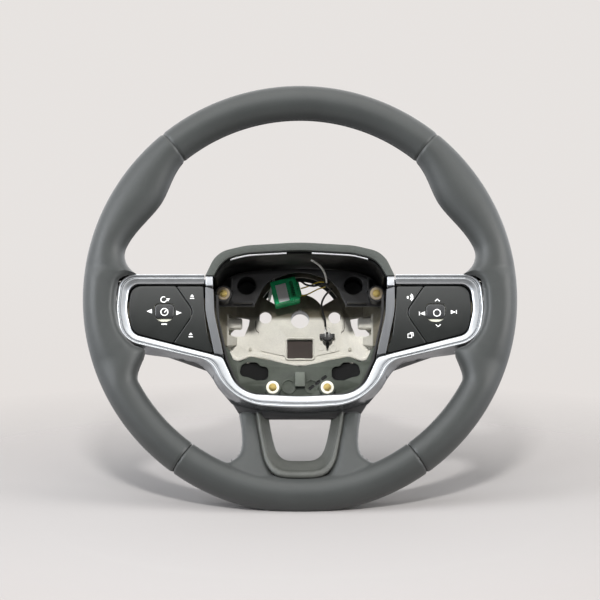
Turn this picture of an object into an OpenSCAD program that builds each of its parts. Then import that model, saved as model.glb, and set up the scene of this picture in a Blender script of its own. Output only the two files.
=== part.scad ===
// Car steering wheel with the airbag taken out: leather rim, cast armature, satin bezel and two switch packs.
// Millimetres. Y is the steering axis, the driver looks along +Y, +X is the driver's right and +Z is up.
// The origin lies on the axis, in the rear face of the hub, where the wheel seats on its column.

/* [Rim] */
// Outer diameter of the leather rim
rim_d = 370; // [366:1:374]
// Width of the plain grip, seen from the front
grip_w = 30; // [29:0.5:31]
// Depth of the grip along the steering axis
grip_d = 34; // [32:0.5:35]
// How far the thumb rests stand inward of the plain grip
thumb_bump = 11; // [8:0.5:12]
// Thickness of the leather
leather_t = 1.2; // [1:0.1:1.4]
// Diameter of the cast core inside the rim
core_d = 12; // [10:0.5:13]
// Distance from the hub plate's front face to the middle of the rim
dish = 106; // [104:1:108]

/* [Hub] */
// Diameter of the column bore
bore_d = 16.5; // [15:0.5:17]
// Length from the column seat to the hub plate's front face
hub_len = 20; // [19:0.5:21]
// Thickness of the cast hub plate
plate_t = 5; // [4:0.5:6]
// Outer diameter of the boss that holds the steel bush
boss_d = 38; // [36:1:40]
// Outer diameter of the steel bush
bush_d = 26; // [24:0.5:28]

/* [Bezel] */
// Height of the bezel's crest in front of the rim's middle
bezel_h = 4; // [3:0.5:5]
// Width of the bezel along the top of the switch packs
bezel_top_w = 8.2; // [7.5:0.1:9]
// Width of the bezel's rounded outer ends
bezel_end_w = 9.4; // [9:0.1:10]
// Wall thickness of the trim mouldings
wall = 2; // [1.6:0.1:2.4]

/* [Switch packs] */
// Gap round the pads
pad_gap = 1.5; // [1.2:0.1:1.8]
// Gap between the pad and the keys beside it
split_gap = 0.6; // [0.5:0.05:0.8]
// Width of the centre button
button_w = 16.4; // [15.5:0.1:17]
// Height of the centre button
button_h = 12.8; // [12:0.1:13.4]
// Radius of the pivot stubs
stub_r = 1.5; // [1.3:0.1:1.7]
// Depth of the switch housing
housing_h = 14.4; // [14:0.1:15]

/* [Airbag seat] */
// Diameter of the brass studs
stud_d = 6.4; // [6:0.1:6.8]
// Outer diameter of the pale bushes round the studs
stud_bush_d = 11.2; // [10.6:0.1:11.6]

/* [Hidden] */
$fn = 64;

// Clearances
fit = 0.05;
soft_gap = 0.3;
trim_gap = 0.4;
foam_gap = 0.9;
core_gap = 2.3;

// Levels along the steering axis, negative towards the driver
plate_y = -hub_len;
rim_y = plate_y - dish;
crest_y = rim_y - bezel_h;
pad_y = crest_y + 1.5;
axle_y = pad_y + 8;
housing_y = pad_y + 4.1;
floor_y = housing_y + housing_h;
back_y = crest_y + 18;
shroud_y = crest_y - 2;
upper_floor_y = rim_y + 60;
lower_floor_y = rim_y + 36;
upper_stud_y = rim_y + 42;
lower_stud_y = rim_y + 29;

rim_r = rim_d / 2;
inner_r = rim_r - grip_w;

// Corner points of the trim, on the left, as [x, z, corner radius]
end_x = inner_r + 2;
arm_top = 19.2;
arm_low = -55.6;
cap_x = 81.6;
cheek_x = 76.6;
hub_low = -94.2;
bezel_inner_top = arm_top - bezel_top_w;
bezel_inner_x = end_x - bezel_end_w;
pack_top = bezel_inner_top - pad_gap;
pack_x = bezel_inner_x - pad_gap;

// A place along a switch pack, as a share of the way from the airbag opening to the pack's outer end
function along_pack(share) = blend(cap_x, pack_x, share);
// A place along a lower leg, as a share of the way from the hub to the inside of the rim
function along_leg(share) = blend(leg_top, -inner_r, share);

crest_left = [
    [-cap_x, arm_top, 0], [-end_x + 3.2, arm_top, 14], [-end_x + 0.2, -10, 50],
    [-end_x + 3.8, -38, 24], [-cheek_x, arm_low, 6], [-56.5, hub_low + 4.2, 30],
];
inner_left = [
    [-cap_x, bezel_inner_top, 0], [-bezel_inner_x + 2.6, bezel_inner_top, 9], [-bezel_inner_x, -11, 40],
    [-bezel_inner_x + 5.2, -32.2, 11], [-65.6, -52, 3], [-51.5, hub_low + 11, 24],
];
crest_mid = [0, hub_low, 160];
inner_mid = [0, hub_low + 8.6, 160];

pack_corners = [
    [-pack_x + 2.4, pack_top, 9], [-pack_x, -11, 40], [-pack_x + 3.8, -30.8, 10],
    [-73, -48.6, 1.2], [-78.6, -34, 60], [-81.4, -10, 80], [-82.2, pack_top, 0.8],
];
split_corners = [
    [-along_pack(0.415), 13, 0], [-along_pack(0.133), -13.8, 9], [-along_pack(0.44), -43, 0],
    [-pack_x - 10, -43, 0], [-pack_x - 10, 13, 0],
];
pad_x = (pack_x + cap_x + 2.9) / 2;
pad_z = -12.7;
keys_x = cap_x + 4.9;
keys_z = -14;

shroud_end = [73.4, 17.8];
shroud_outer = [
    [-80.6, shroud_end[1], 0], [-71.2, 38, 22], [-46, 44, 60], [0, 46.8, 200], [46, 44, 60], [71.2, 38, 22], [80.6, shroud_end[1], 0],
];
shroud_inner = [
    [-shroud_end[0], shroud_end[1], 0], [-65.5, 32.4, 22], [-45, 37.4, 50], [0, 39.9, 200], [45, 37.4, 50], [65.5, 32.4, 22],
    [shroud_end[0], shroud_end[1], 0],
];
trim_outer = [[-80.6, 8.6, 0.6], [-80.6, -12, 60], [-72.8, -48.8, 1]];
trim_inner = [[-64.9, -50.6, 1], [-73, -14, 60], [-73.8, 6.4, 0.6]];
cavity = [
    [-72.4, 16, 0], [-72, -12, 60], [-63.4, -51, 8], [-51, -80.5, 24], [0, -84.2, 160],
    [51, -80.5, 24], [63.4, -51, 8], [72, -12, 60], [72.4, 16, 0],
    [64.4, 30.6, 22], [45, 35.6, 50], [0, 38, 200], [-45, 35.6, 50], [-64.4, 30.6, 22],
];

// Seams between the four pieces of leather, in degrees from the top of the rim
seam_top = 39.8;
seam_low = 144.4;
seam_half = 0.05;

// Depths and edges of one lower leg of the leather, as [z, outer x, inner x, front y, rear y]
leg_top = -96.5;
leg_slices = [
    [leg_top, 52.4, 37.7, rim_y + 13, rim_y + 42],
    [along_leg(0.145), 50.8, 36.4, rim_y + 9, rim_y + 34],
    [along_leg(0.316), 49.6, 34.7, rim_y + 4.5, rim_y + 26],
    [along_leg(0.521), 49.4, 32.7, rim_y - 1, rim_y + 20],
    [along_leg(0.692), 51.6, 31, rim_y - 5, rim_y + 16.5],
    [along_leg(0.778), 54, 29.4, rim_y - 7, rim_y + 15],
];
leg_foot = [61, 25.4, rim_y - 9.4, rim_y + 14];
leg_round = 5;

function clamp01(v) = min(1, max(0, v));
function ease(v) = let (c = clamp01(v)) c * c * (3 - 2 * c);
function blend(a, b, v) = a + (b - a) * v;

// Inner radius of the leather at t degrees from the top, the same on both sides of the wheel
spoke_end = [
    [82, end_x - 16], [83.4, end_x - 8], [85.4, end_x - 2.6], [88, end_x - 0.6], [94, end_x + 0.7],
    [99, end_x - 0.2], [102, end_x - 2.2], [105, end_x - 6.2], [107.2, end_x - 11], [109, end_x - 17],
];
function plain_inner(t) = inner_r - thumb_bump * (t < 56 ? ease((t - 38) / 18) : 1 - ease((t - 56) / 21));
root_r = 23;
function root_fillet(t) =
    let (h = inner_r * cos(t) - arm_top - 1)
    h > root_r ? 0 : root_r - sqrt(root_r * root_r - pow(root_r - max(h, 0), 2));
function rim_inner(t) =
    t < 82 ? plain_inner(t) - root_fillet(t)
    : t < 109 ? lookup(t, spoke_end)
    : inner_r - (inner_r - end_x + 17) * (1 - ease((t - 109) / 9));
// 0 on the plain grip and 1 where a spoke runs into the rim
function spoke_part(t) = ease((t - 81) / 4) * ease((110 - t) / 5);

// One point of the rim's section: q turns about the grip, from the outside, and off is the depth below the leather
function rim_point(t, q, off) =
    let (
        inner = rim_inner(t) + off,
        outer = rim_r - off,
        mid = (outer + inner) / 2,
        half = (outer - inner) / 2,
        c = cos(q),
        side = c < 0 ? -pow(-c, blend(1, 0.35, spoke_part(t))) : c,
        radius = mid + half * side
    )
    [radius * sin(t), rim_y - (grip_d / 2 - off) * sin(q), radius * cos(t)];

// The section is open along the inside of the rim: a sewn slit, wide only where a spoke or a leg comes in
leg_from = 180 - asin(55 / inner_r);
leg_to = 180 - asin(30.6 / inner_r);
function leg_part(t) = ease((t - leg_from) / 1.4) * ease((leg_to - t) / 1.4);
function lip_part(t) = ease((t - 85) / 3) * ease((106 - t) / 3);
function slit_front(t) = blend(1.6, 42 - 28 * lip_part(t), spoke_part(t)) + 22 * leg_part(t);
function slit_rear(t) = blend(1.6, 84, spoke_part(t)) + 44 * leg_part(t);
function turn(t, i, n) = blend(-180 + slit_rear(t), 180 - slit_front(t), i / n);
function skin_ring(t, off_out, off_in, n) = concat(
    [for (i = [0:n]) rim_point(t, turn(t, i, n), off_out)],
    [for (i = [n:-1:0]) rim_point(t, turn(t, i, n), off_in)]
);
core_y = rim_y;
function core_point(t, q, r) =
    [(rim_r - 15 + r * cos(q)) * sin(t), core_y - r * sin(q), (rim_r - 15 + r * cos(q)) * cos(t)];
function foam_relief(t) = 2.4 * ease((t - 75) / 4) * ease((115 - t) / 4);
function foam_ring(t, off, r, n, m) = concat(
    [for (i = [0:n]) rim_point(t, turn(t, i, n), off + foam_relief(t))],
    [for (i = [m:-1:0]) core_point(t, turn(t, i, m), r)]
);

// Closed sweep through rings of the same number of points, with flat ends or joined end to end;
// a wall's ring runs out along one side and back along the other, and its ends are closed in strips
function total(v) = v * [for (x = v) 1];
function fan_volume(points, face) = total([
    for (i = [1:len(face) - 2]) cross(points[face[0]], points[face[i]]) * points[face[i + 1]]
]);
module sweep(rings, closed = false, wall_ring = false) {
    n = len(rings[0]);
    last = len(rings) - (closed ? 1 : 2);
    points = [for (r = rings) each r];
    sides = [
        for (k = [0:last]) for (i = [0:n - 1])
            let (a = k * n, b = ((k + 1) % len(rings)) * n, j = (i + 1) % n)
            each [[a + i, a + j, b + j], [a + i, b + j, b + i]]
    ];
    far = (len(rings) - 1) * n;
    strips = [
        for (i = [0:n / 2 - 2]) let (j = n - 1 - i)
            each [[i + 1, i, j], [i + 1, j, j - 1], [far + i, far + i + 1, far + j], [far + j, far + i + 1, far + j - 1]]
    ];
    ends = closed ? [] : wall_ring ? strips : [[for (i = [n - 1:-1:0]) i], [for (i = [0:n - 1]) far + i]];
    faces = concat(sides, ends);
    inside_out = total([for (f = faces) fan_volume(points, f)]) > 0;
    polyhedron(points = points, faces = inside_out ? [for (f = faces) reversed(f)] : faces, convexity = 8);
}

// Points of an outline with rounded corners, given as [x, y, radius]
function unit(v) = v / norm(v);
function corner(a, b, c, steps) =
    let (
        p = [b[0], b[1]],
        u = unit([a[0], a[1]] - p),
        v = unit([c[0], c[1]] - p),
        half = acos(min(1, max(-1, u * v))) / 2,
        r = b[2],
        reach = r / tan(half),
        centre = p + unit(u + v) * r / sin(half),
        from = p + u * reach - centre,
        to = p + v * reach - centre,
        a0 = atan2(from[1], from[0]),
        swing = atan2(to[1], to[0]) - a0,
        turn_by = swing > 180 ? swing - 360 : swing < -180 ? swing + 360 : swing
    )
    r == 0 ? [for (i = [0:steps]) p] : [for (i = [0:steps]) centre + r * [cos(a0 + turn_by * i / steps), sin(a0 + turn_by * i / steps)]];
function outline(points, steps = 6) = [
    for (i = [0:len(points) - 1])
        let (n = len(points), b = points[i])
        each (b[2] == 0 ? [[b[0], b[1]]] : corner(points[(i + n - 1) % n], b, points[(i + 1) % n], steps))
];
function open_path(points, steps = 4) = [
    for (i = [0:len(points) - 1])
        each (i == 0 || i == len(points) - 1 ? [[points[i][0], points[i][1]]]
            : corner(points[i - 1], points[i], points[i + 1], steps))
];
function reversed(points) = [for (i = [len(points) - 1:-1:0]) points[i]];
function flipped(points) = [for (i = [len(points) - 1:-1:0]) [-points[i][0], points[i][1], points[i][2]]];

// Flat shapes are drawn in X and Z and run along Y from front to back
module slab(front, back) {
    translate([0, back, 0]) rotate([90, 0, 0]) linear_extrude(back - front) children();
}
module rod(r, front, back, x = 0, z = 0) {
    translate([x, back, z]) rotate([90, 0, 0]) cylinder(r = r, h = back - front);
}
module both() {
    children();
    mirror([1, 0, 0]) children();
}
module on_right() {
    mirror([1, 0, 0]) children();
}
module round_box(w, h, r, x = 0, z = 0) {
    translate([x, z]) polygon(outline([[-w / 2, -h / 2, r], [w / 2, -h / 2, r], [w / 2, h / 2, r], [-w / 2, h / 2, r]]));
}

top_angles = [for (i = [-8:8]) i * (seam_top - seam_half) / 8];
side_angles = concat(
    [seam_top + seam_half], [for (t = [43:3:79]) t], [80.5, 81.6, 82.4, 83.4, 85.4, 88, 91, 94, 97, 99.5, 102, 104, 105.6, 107.2],
    [108.4, 109.6, 112, 115, 118, 123, 128, 133, 138.5, seam_low - seam_half]
);
leg_angles = [leg_from - 0.8, leg_from + 0.8, leg_from + 2.2, (leg_from + leg_to) / 2, leg_to - 2.2, leg_to - 0.8, leg_to + 0.8];
low_half = concat(
    [for (i = [0:2]) blend(seam_low + seam_half, leg_from - 0.8, i / 3)], leg_angles, [blend(leg_to + 0.8, 180, 0.5)]
);
low_angles = concat(low_half, [180], [for (i = [len(low_half) - 1:-1:0]) 360 - low_half[i]]);
foam_angles = concat(
    [for (t = [0:6.5:39]) t], [for (t = [42:4:78]) t], [80.5, 82, 84, 87, 92, 97, 102, 105.6, 108.4, 110, 114, 118],
    [for (i = [1:6]) blend(118, leg_from - 0.8, i / 6.4)], leg_angles, [blend(leg_to + 0.8, 180, 0.5)]
);
foam_turn = concat(foam_angles, [180], [for (i = [len(foam_angles) - 1:-1:1]) 360 - foam_angles[i]]);
function fold(t) = t > 180 ? 360 - t : t;
function mirrored_ring(t, ring) = t > 180 ? [for (p = ring) [-p[0], p[1], p[2]]] : ring;
skin_sides = 13;

module leather_skin(angles) {
    sweep([
        for (t = angles)
            let (ring = skin_ring(abs(fold(t)), 0, leather_t, skin_sides))
            t > 180 || t < 0 ? [for (p = ring) [-p[0], p[1], p[2]]] : ring
    ]);
}
module leather_top() {
    color("dimgray") leather_skin(top_angles);
}
module side_leather() {
    leather_skin(side_angles);
}
module leather_right() {
    color("dimgray") side_leather();
}
module leather_left() {
    color("dimgray") on_right() side_leather();
}

// One slice of a lower leg, with a sewn slit at the back; off is the depth below the leather
leg_slit = 0.2;
function leg_line(outer, inner, front, rear, off) =
    let (
        r = leg_round - off,
        x1 = outer - off - r,
        x0 = inner + off + r,
        y0 = front + off + r,
        y1 = rear - off - r,
        mid = (outer + inner) / 2
    )
    concat(
        [[mid + leg_slit, y1 + r]],
        [for (a = [90, 45, 0]) [x1 + r * cos(a), y1 + r * sin(a)]],
        [for (a = [0, -45, -90]) [x1 + r * cos(a), y0 + r * sin(a)]],
        [for (a = [-90, -135, -180]) [x0 + r * cos(a), y0 + r * sin(a)]],
        [for (a = [180, 135, 90]) [x0 + r * cos(a), y1 + r * sin(a)]],
        [[mid - leg_slit, y1 + r]]
    );
function leg_loop(outer, inner, front, rear) =
    concat(leg_line(outer, inner, front, rear, 0), reversed(leg_line(outer, inner, front, rear, leather_t)));
// Where a point of the foot meets the rim, half way through its leather
function on_rim(x, y) =
    let (r = (rim_r + inner_r + leather_t) / 2 - (rim_r - inner_r) / 2 * sqrt(1 - pow((y - rim_y) * 2 / grip_d, 2)))
    -sqrt(r * r - x * x);
module leg() {
    sweep(concat(
        [for (s = leg_slices) [for (p = leg_loop(s[1], s[2], s[3], s[4])) [p[0], p[1], s[0]]]],
        [[for (p = leg_loop(leg_foot[0], leg_foot[1], leg_foot[2], leg_foot[3])) [p[0], p[1], on_rim(p[0], p[1])]]]
    ), wall_ring = true);
}
module leather_bottom() {
    color("dimgray") {
        leather_skin(low_angles);
        both() leg();
    }
}

foam_off = leather_t + foam_gap;
module rim_foam() {
    color("#3a3a38") sweep([
        for (t = foam_turn)
            mirrored_ring(t, foam_ring(fold(t), foam_off, core_d / 2 + core_gap, 11, 7))
    ], closed = true);
}
module core_ring() {
    translate([0, core_y, 0]) rotate([90, 0, 0]) rotate_extrude() translate([rim_r - 15, 0]) circle(r = core_d / 2);
}

// Cast arms, drawn from the side and trimmed to their outline from the front
side_arm_side = [
    [56, plate_y - 1], [70, plate_y - 30], [90, rim_y + 31], [end_x - 19, rim_y + 18], [end_x - 3, rim_y + 16.8],
    [end_x + 1, rim_y + 16.6], [end_x + 3.6, rim_y + 10], [rim_r - 20, rim_y + 1], [rim_r - 14, rim_y + 3],
    [rim_r - 20.5, rim_y + 9], [end_x + 1.6, rim_y + 21], [end_x - 7, rim_y + 24.4], [end_x - 17, rim_y + 25.5],
    [98, rim_y + 39], [79, plate_y - 26], [66, plate_y + plate_t], [54, plate_y + plate_t],
];
side_arm_front = [
    [54, 14], [80, 8], [along_pack(0.6), 0], [end_x - 7, -1], [rim_r - 14, 2], [rim_r - 14, -22], [end_x - 7, -23],
    [along_pack(0.6), -26], [80, -34], [54, -22],
];
module side_arm() {
    intersection() {
        translate([0, 0, -40]) linear_extrude(60) polygon(side_arm_side);
        difference() {
            slab(rim_y - 10, 0) polygon(side_arm_front);
            slab(rim_y - 12, plate_y - 40) round_box(arm_bosses[0][0] - arm_bosses[1][0] + 2, 9, 4, (arm_bosses[0][0] + arm_bosses[1][0]) / 2, -13);
        }
    }
}
low_arm_side = [
    [plate_y + 2, -30], [plate_y + 2, -38], [plate_y - 20, -46], [rim_y + 47, -71], [rim_y + 31, -96],
    [rim_y + 8, along_leg(0.52)], [rim_y + 3, along_leg(0.915)], [rim_y - 3, -rim_r + 16], [rim_y + 3, -rim_r + 14],
    [rim_y + 5, -rim_r + 24], [rim_y + 9.5, along_leg(0.915)], [rim_y + 16.5, along_leg(0.54)], [rim_y + 23, along_leg(0.316)],
    [rim_y + 31, along_leg(0.145)], [rim_y + 36, -98],
    [rim_y + 39, -87], [rim_y + 49, -76.5], [rim_y + 61, -68], [plate_y - 22, -56],
    [plate_y + plate_t, -38], [plate_y + plate_t, -28],
];
low_arm_front = [
    [26, -24], [45, -28], [50, -60], [49, -97], [46, along_leg(0.52)], [50, -rim_r + 12], [37, -rim_r + 12],
    [37, along_leg(0.52)], [41.5, -97], [39, -60], [27, -34],
];
module lower_arm(grow = 0) {
    intersection() {
        translate([20 - grow, 0, 0]) rotate([90, 0, 90]) linear_extrude(40 + 2 * grow)
            offset(delta = grow) polygon(low_arm_side);
        slab(rim_y - 20, 0) offset(delta = grow) polygon(low_arm_front);
    }
}

// Features of the hub plate
plate_half = [
    [0, 42, 0], [38, 37.4, 20], [70, 21, 6], [71, -17, 4], [62.6, -24, 4], [58.4, -37.6, 5], [46, -34.6, 5], [38, -31.4, 8],
    [14, -39.4, 8], [0, -40.6, 0],
];
plate_outline = concat(plate_half, [for (i = [len(plate_half) - 2:-1:1]) [-plate_half[i][0], plate_half[i][1], plate_half[i][2]]]);
field_half = [[0, 30, 0], [30, 26, 10], [38.5, 8, 4], [38.5, -4.6, 1], [36.4, -12, 1], [35.2, -28.4, 2], [0, -36, 0]];
field_outline = concat(field_half, [for (i = [len(field_half) - 2:-1:1]) [-field_half[i][0], field_half[i][1], field_half[i][2]]]);
hook_window = [[-55.6, 2.4, 1.5], [-44.4, 0.6, 1.5], [-45.4, -5.6, 3], [-49.4, -15.4, 2], [-61, -15.4, 2], [-61.4, -12, 2], [-56.4, -7, 3]];
screw_seats = [[58, 20], [-58, 20], [44, -27], [-44, -27]];
arm_bosses = [[along_pack(0.72), -13], [along_pack(0.348), -22]];
side_hole = [30.7, 1.7, 5.6];
top_hole_r = 38.4;
top_hole_inner = 22.4;
plate_window = [23, 17, -26.6];
bore_r = bore_d / 2;

module armature() {
    color("#b9b4aa") difference() {
        union() {
            slab(plate_y, plate_y + plate_t) polygon(outline(plate_outline));
            slab(plate_y - 1.2, plate_y + 1) polygon(outline(field_outline));
            rod(boss_d / 2, plate_y + 1, 0);
            both() {
                side_arm();
                lower_arm();
                hook();
                for (b = arm_bosses) rod(4.2, floor_y, floor_y + (b[0] > pad_x ? 9 : 16), b[0], b[1]);
            }
            core_ring();
        }
        rod(bore_r, plate_y - 3, 1);
        rod(bush_d / 2, plate_y + plate_t, 1);
        slab(plate_y - 3, 1) round_box(3, 3, 0.4, 0, bore_r);
        difference() {
            intersection() {
                rod(top_hole_r, plate_y - 3, 1);
                slab(plate_y - 3, 1) polygon([[0, 0], [60, 36], [60, 80], [-60, 80], [-60, 36]]);
            }
            rod(top_hole_inner, plate_y - 4, 2);
        }
        both() {
            rod(side_hole[2], plate_y - 3, 1, side_hole[0], side_hole[1]);
            mirror([1, 0, 0]) slab(plate_y - 3, 1) polygon(outline(hook_window));
        }
        slab(plate_y - 3, plate_y + plate_t - 1.5) round_box(plate_window[0], plate_window[1], 1.5, 0, plate_window[2]);
        for (p = screw_seats) rod(screw_r + fit, plate_y - 3, 1, p[0], p[1]);
        both() for (b = arm_bosses) rod(screw_r + fit, floor_y - 1, floor_y + 30, b[0], b[1]);
    }
}
// Hook beside the plate that the airbag's spring clip holds on to
module hook() {
    slab(plate_y - 14, plate_y + 1) round_box(7, 12, 1, 66.4, -5.4);
    slab(plate_y - 14, plate_y - 11) round_box(14, 11, 1, 58.6, -6.2);
    slab(plate_y - 14, plate_y + 1) round_box(14, 2.4, 0.5, 58.6, -12.6);
}
module hub_bush() {
    color("#8d8f92") difference() {
        rod(bush_d / 2, plate_y + plate_t, 0);
        rod(bore_r, plate_y, 1);
    }
}

// Bezel: a moulded strip with a raised outer crest, swept round the switch packs and under the hub
crest_path = open_path(concat(crest_left, [crest_mid], flipped(crest_left)));
inner_path = open_path(concat(inner_left, [inner_mid], flipped(inner_left)));
function flare(i) = crest_path[i][1] > -30 ? 0.4 : 4 * ease((-30 - crest_path[i][1]) / 14) + 0.4;
function rear_level(i) = crest_path[i][1] > -30 ? back_y - 8 * ease((crest_path[i][1] + 30) / 20) : back_y;
function at_level(p, y) = [p[0], y, p[1]];
function bezel_ring(i) =
    let (
        o = crest_path[i],
        n = inner_path[i],
        w = o - n,
        u = unit(w),
        out = flare(i) * u,
        rear = rear_level(i)
    )
    [
        at_level(n, crest_y + 2.4), at_level(n + 0.3 * u, crest_y + 1.9), at_level(n + w * 0.7, crest_y + 0.9),
        at_level(o - 1.5 * u, crest_y), at_level(o - 0.4 * u, crest_y), at_level(o, crest_y + 0.5), at_level(o + out, rear),
        at_level(o + out - wall * u, rear), at_level(o - wall * u, crest_y + wall + 1),
        at_level(n + wall * u, crest_y + wall + 2), at_level(n + wall * u, crest_y + 6), at_level(n, crest_y + 6),
    ];
module bezel() {
    color("silver") sweep([for (i = [0:len(crest_path) - 1]) bezel_ring(i)]);
}

cap_top = 17.4;
module left_trim_cap() {
    color("silver") slab(crest_y + 0.3, back_y - 6)
        polygon(outline([[-80.3, 9.4, 0.5], [-74.4, 9.4, 0.5], [-74.4, cap_top, 0.8], [-80.3, cap_top, 0.8]]));
}
module right_trim_cap() {
    on_right() left_trim_cap();
}
module left_side_trim() {
    color("#7c8080") difference() {
        slab(crest_y + 1, back_y + 6) polygon(outline(concat(trim_outer, trim_inner)));
        slab(crest_y + 1 + wall, back_y + 7) offset(delta = -1.4) polygon(outline(concat(trim_outer, trim_inner)));
    }
}
module right_side_trim() {
    on_right() left_side_trim();
}

module upper_shroud() {
    color("#3b3d3c") difference() {
        slab(shroud_y, back_y) polygon(concat(open_path(shroud_outer), reversed(open_path(shroud_inner))));
        slab(shroud_y + 6, back_y + 1) offset(delta = -wall) polygon(open_path(shroud_outer));
    }
}
liner_front = shroud_y + 6;
arch_line = concat(open_path(shroud_inner), [[shroud_end[0], 8], [-shroud_end[0], 8]]);
module arch_band(low, high) {
    above(shroud_end[1] - 0.4) difference() {
        offset(delta = high) polygon(arch_line);
        offset(delta = low) polygon(arch_line);
    }
}
module shroud_liner() {
    color("#141414") slab(liner_front, upper_floor_y + 14) arch_band(-wall, 0);
}
strip_w = 18;
module foam_strip_left() {
    slab(liner_front + 1, liner_front + 1 + strip_w) intersection() {
        arch_band(-wall - 1.1, -wall - 0.2);
        translate([-60.4, 20]) square([51, 40]);
    }
}
module left_foam_strip() {
    color("#d8d9d6") foam_strip_left();
}
module right_foam_strip() {
    color("#d8d9d6") on_right() foam_strip_left();
}

upper_studs = [[66.3, 11.1], [-66.3, 11.1]];
lower_studs = [[23.4, -73.2], [-23.4, -73.2]];
stud_r = stud_d / 2;
stud_bush_r = stud_bush_d / 2;
boss_r = stud_bush_r + 1.4;
arch_half = [[40, -20, 0], [39.4, 5, 0], [36, 12, 8], [33, 19, 4], [27, 26, 8], [0, 36.4, 40]];
arch_window = concat(
    [[-40, -60, 0], [40, -60, 0]], arch_half, [for (i = [4:-1:0]) [-arch_half[i][0], arch_half[i][1], arch_half[i][2]]]
);
hollows = [[46.6, 21.6, 8.2], [-46.6, 21.6, 8.2]];
cavity_line = outline(cavity, 5);
module above(z) {
    intersection() {
        children();
        translate([-100, z]) square([200, 100]);
    }
}
module below(z) {
    intersection() {
        children();
        translate([-100, z - 100]) square([200, 100]);
    }
}
module cavity_rim() {
    difference() {
        polygon(cavity_line);
        offset(delta = -wall) polygon(cavity_line);
    }
}
module bag_carrier() {
    color("#1b1b1b") difference() {
        union() {
            slab(back_y + 7, upper_floor_y + 3) below(6) above(-60) cavity_rim();
            slab(back_y + 7, lower_floor_y + 14) below(-59) cavity_rim();
            slab(upper_floor_y, upper_floor_y + 3) above(3.2) offset(delta = -1.1) polygon(cavity_line);
            for (p = upper_studs) rod(boss_r, upper_stud_y, upper_floor_y + 2, p[0], p[1]);
            for (p = hollows) rod(p[2] + 1.6, upper_floor_y + 1, plate_y - 16, p[0], p[1]);
            both() slab(upper_floor_y - 12, upper_floor_y + 1) translate([58.6, 15]) square([1.6, 12]);
            both() slab(upper_floor_y - 8, upper_floor_y + 1) translate([41, 4.8]) square([17, 1.6]);
            both() slab(upper_floor_y + 1, plate_y - 0.2) translate([47, 14]) square([6, 5]);
        }
        slab(upper_floor_y - 1, upper_floor_y + 4) polygon(outline(arch_window));
        both() slab(lower_floor_y - 1, lower_floor_y + 15) translate([36, -94]) square([17, 26]);
        for (p = hollows) rod(p[2], upper_floor_y - 1, plate_y - 18, p[0], p[1]);
        for (p = upper_studs) rod(stud_bush_r + fit, upper_stud_y - 1, upper_stud_y + 9, p[0], p[1]);
        for (p = upper_studs) rod(stud_r + fit, upper_stud_y - 1, upper_stud_y + 14, p[0], p[1]);
    }
}

slots = [[21.6, -69.6], [16.6, -73], [11.4, -76.6]];
floor_edge_half = [
    [0, -54.2, 0], [-25, -48.8, 10], [-43, -45, 8], [-51, -50, 4], [-57, -48.6, 3], [-61.6, -38.6, 4], [-70, -31, 2], [-90, -20, 0],
];
floor_edge = concat(
    [[90, -120, 0], [-90, -120, 0]], [for (i = [7:-1:0]) floor_edge_half[i]],
    [for (i = [1:7]) [-floor_edge_half[i][0], floor_edge_half[i][1], floor_edge_half[i][2]]]
);
module floor_shape(lower = 0) {
    intersection() {
        offset(delta = -wall - trim_gap) polygon(cavity_line);
        translate([0, -lower]) polygon(outline(floor_edge));
    }
}
module lower_carrier() {
    color("#3d4440") difference() {
        union() {
            slab(lower_floor_y, lower_floor_y + 2.5) floor_shape();
            slab(lower_floor_y, lower_floor_y + 12) difference() {
                floor_shape();
                floor_shape(wall);
            }
            for (p = lower_studs) rod(boss_r, lower_stud_y, lower_floor_y + 9, p[0], p[1]);
            slab(lower_floor_y - 5, lower_floor_y + 1) round_box(8.4, 11, 1, 0, -64);
            both() difference() {
                rod(6.4, lower_floor_y - 0.8, lower_floor_y + 1, 9.8, -71.6);
                rod(5.4, lower_floor_y - 1, lower_floor_y + 1.5, 9.8, -71.6);
            }
        }
        both() slab(lower_floor_y - 6, lower_floor_y + 4) translate([-40.6, -58.6]) rotate(-4) round_oval(25, 12.5);
        for (p = slots) slab(lower_floor_y - 6, lower_floor_y + 4) translate([p[0] + 1, p[1]]) rotate(38) round_box(6.4, 2.2, 1.05);
        for (p = lower_studs) rod(stud_bush_r + fit, lower_stud_y - 1, lower_stud_y + 9, p[0], p[1]);
        for (p = lower_studs) rod(stud_r + fit, lower_stud_y - 1, lower_stud_y + 14, p[0], p[1]);
    }
}
module round_oval(w, h) {
    round_box(w, h, h * 0.49);
}
module bag_studs() {
    color("#c9a24a") {
        for (p = upper_studs) stud(upper_stud_y, p);
        for (p = lower_studs) stud(lower_stud_y, p);
    }
}
module stud(level, p) {
    rod(stud_r, level - 1.6, level + 13.8, p[0], p[1]);
    rod(stud_r - 1, level - 2.4, level, p[0], p[1]);
}
module stud_bushes() {
    color("#d9d4c4") {
        for (p = upper_studs) stud_bush(upper_stud_y, p);
        for (p = lower_studs) stud_bush(lower_stud_y, p);
    }
}
module stud_bush(level, p) {
    difference() {
        rod(stud_bush_r, level - 0.6, level + 8.9, p[0], p[1]);
        rod(stud_r + fit, level - 1, level + 10, p[0], p[1]);
    }
}

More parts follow.
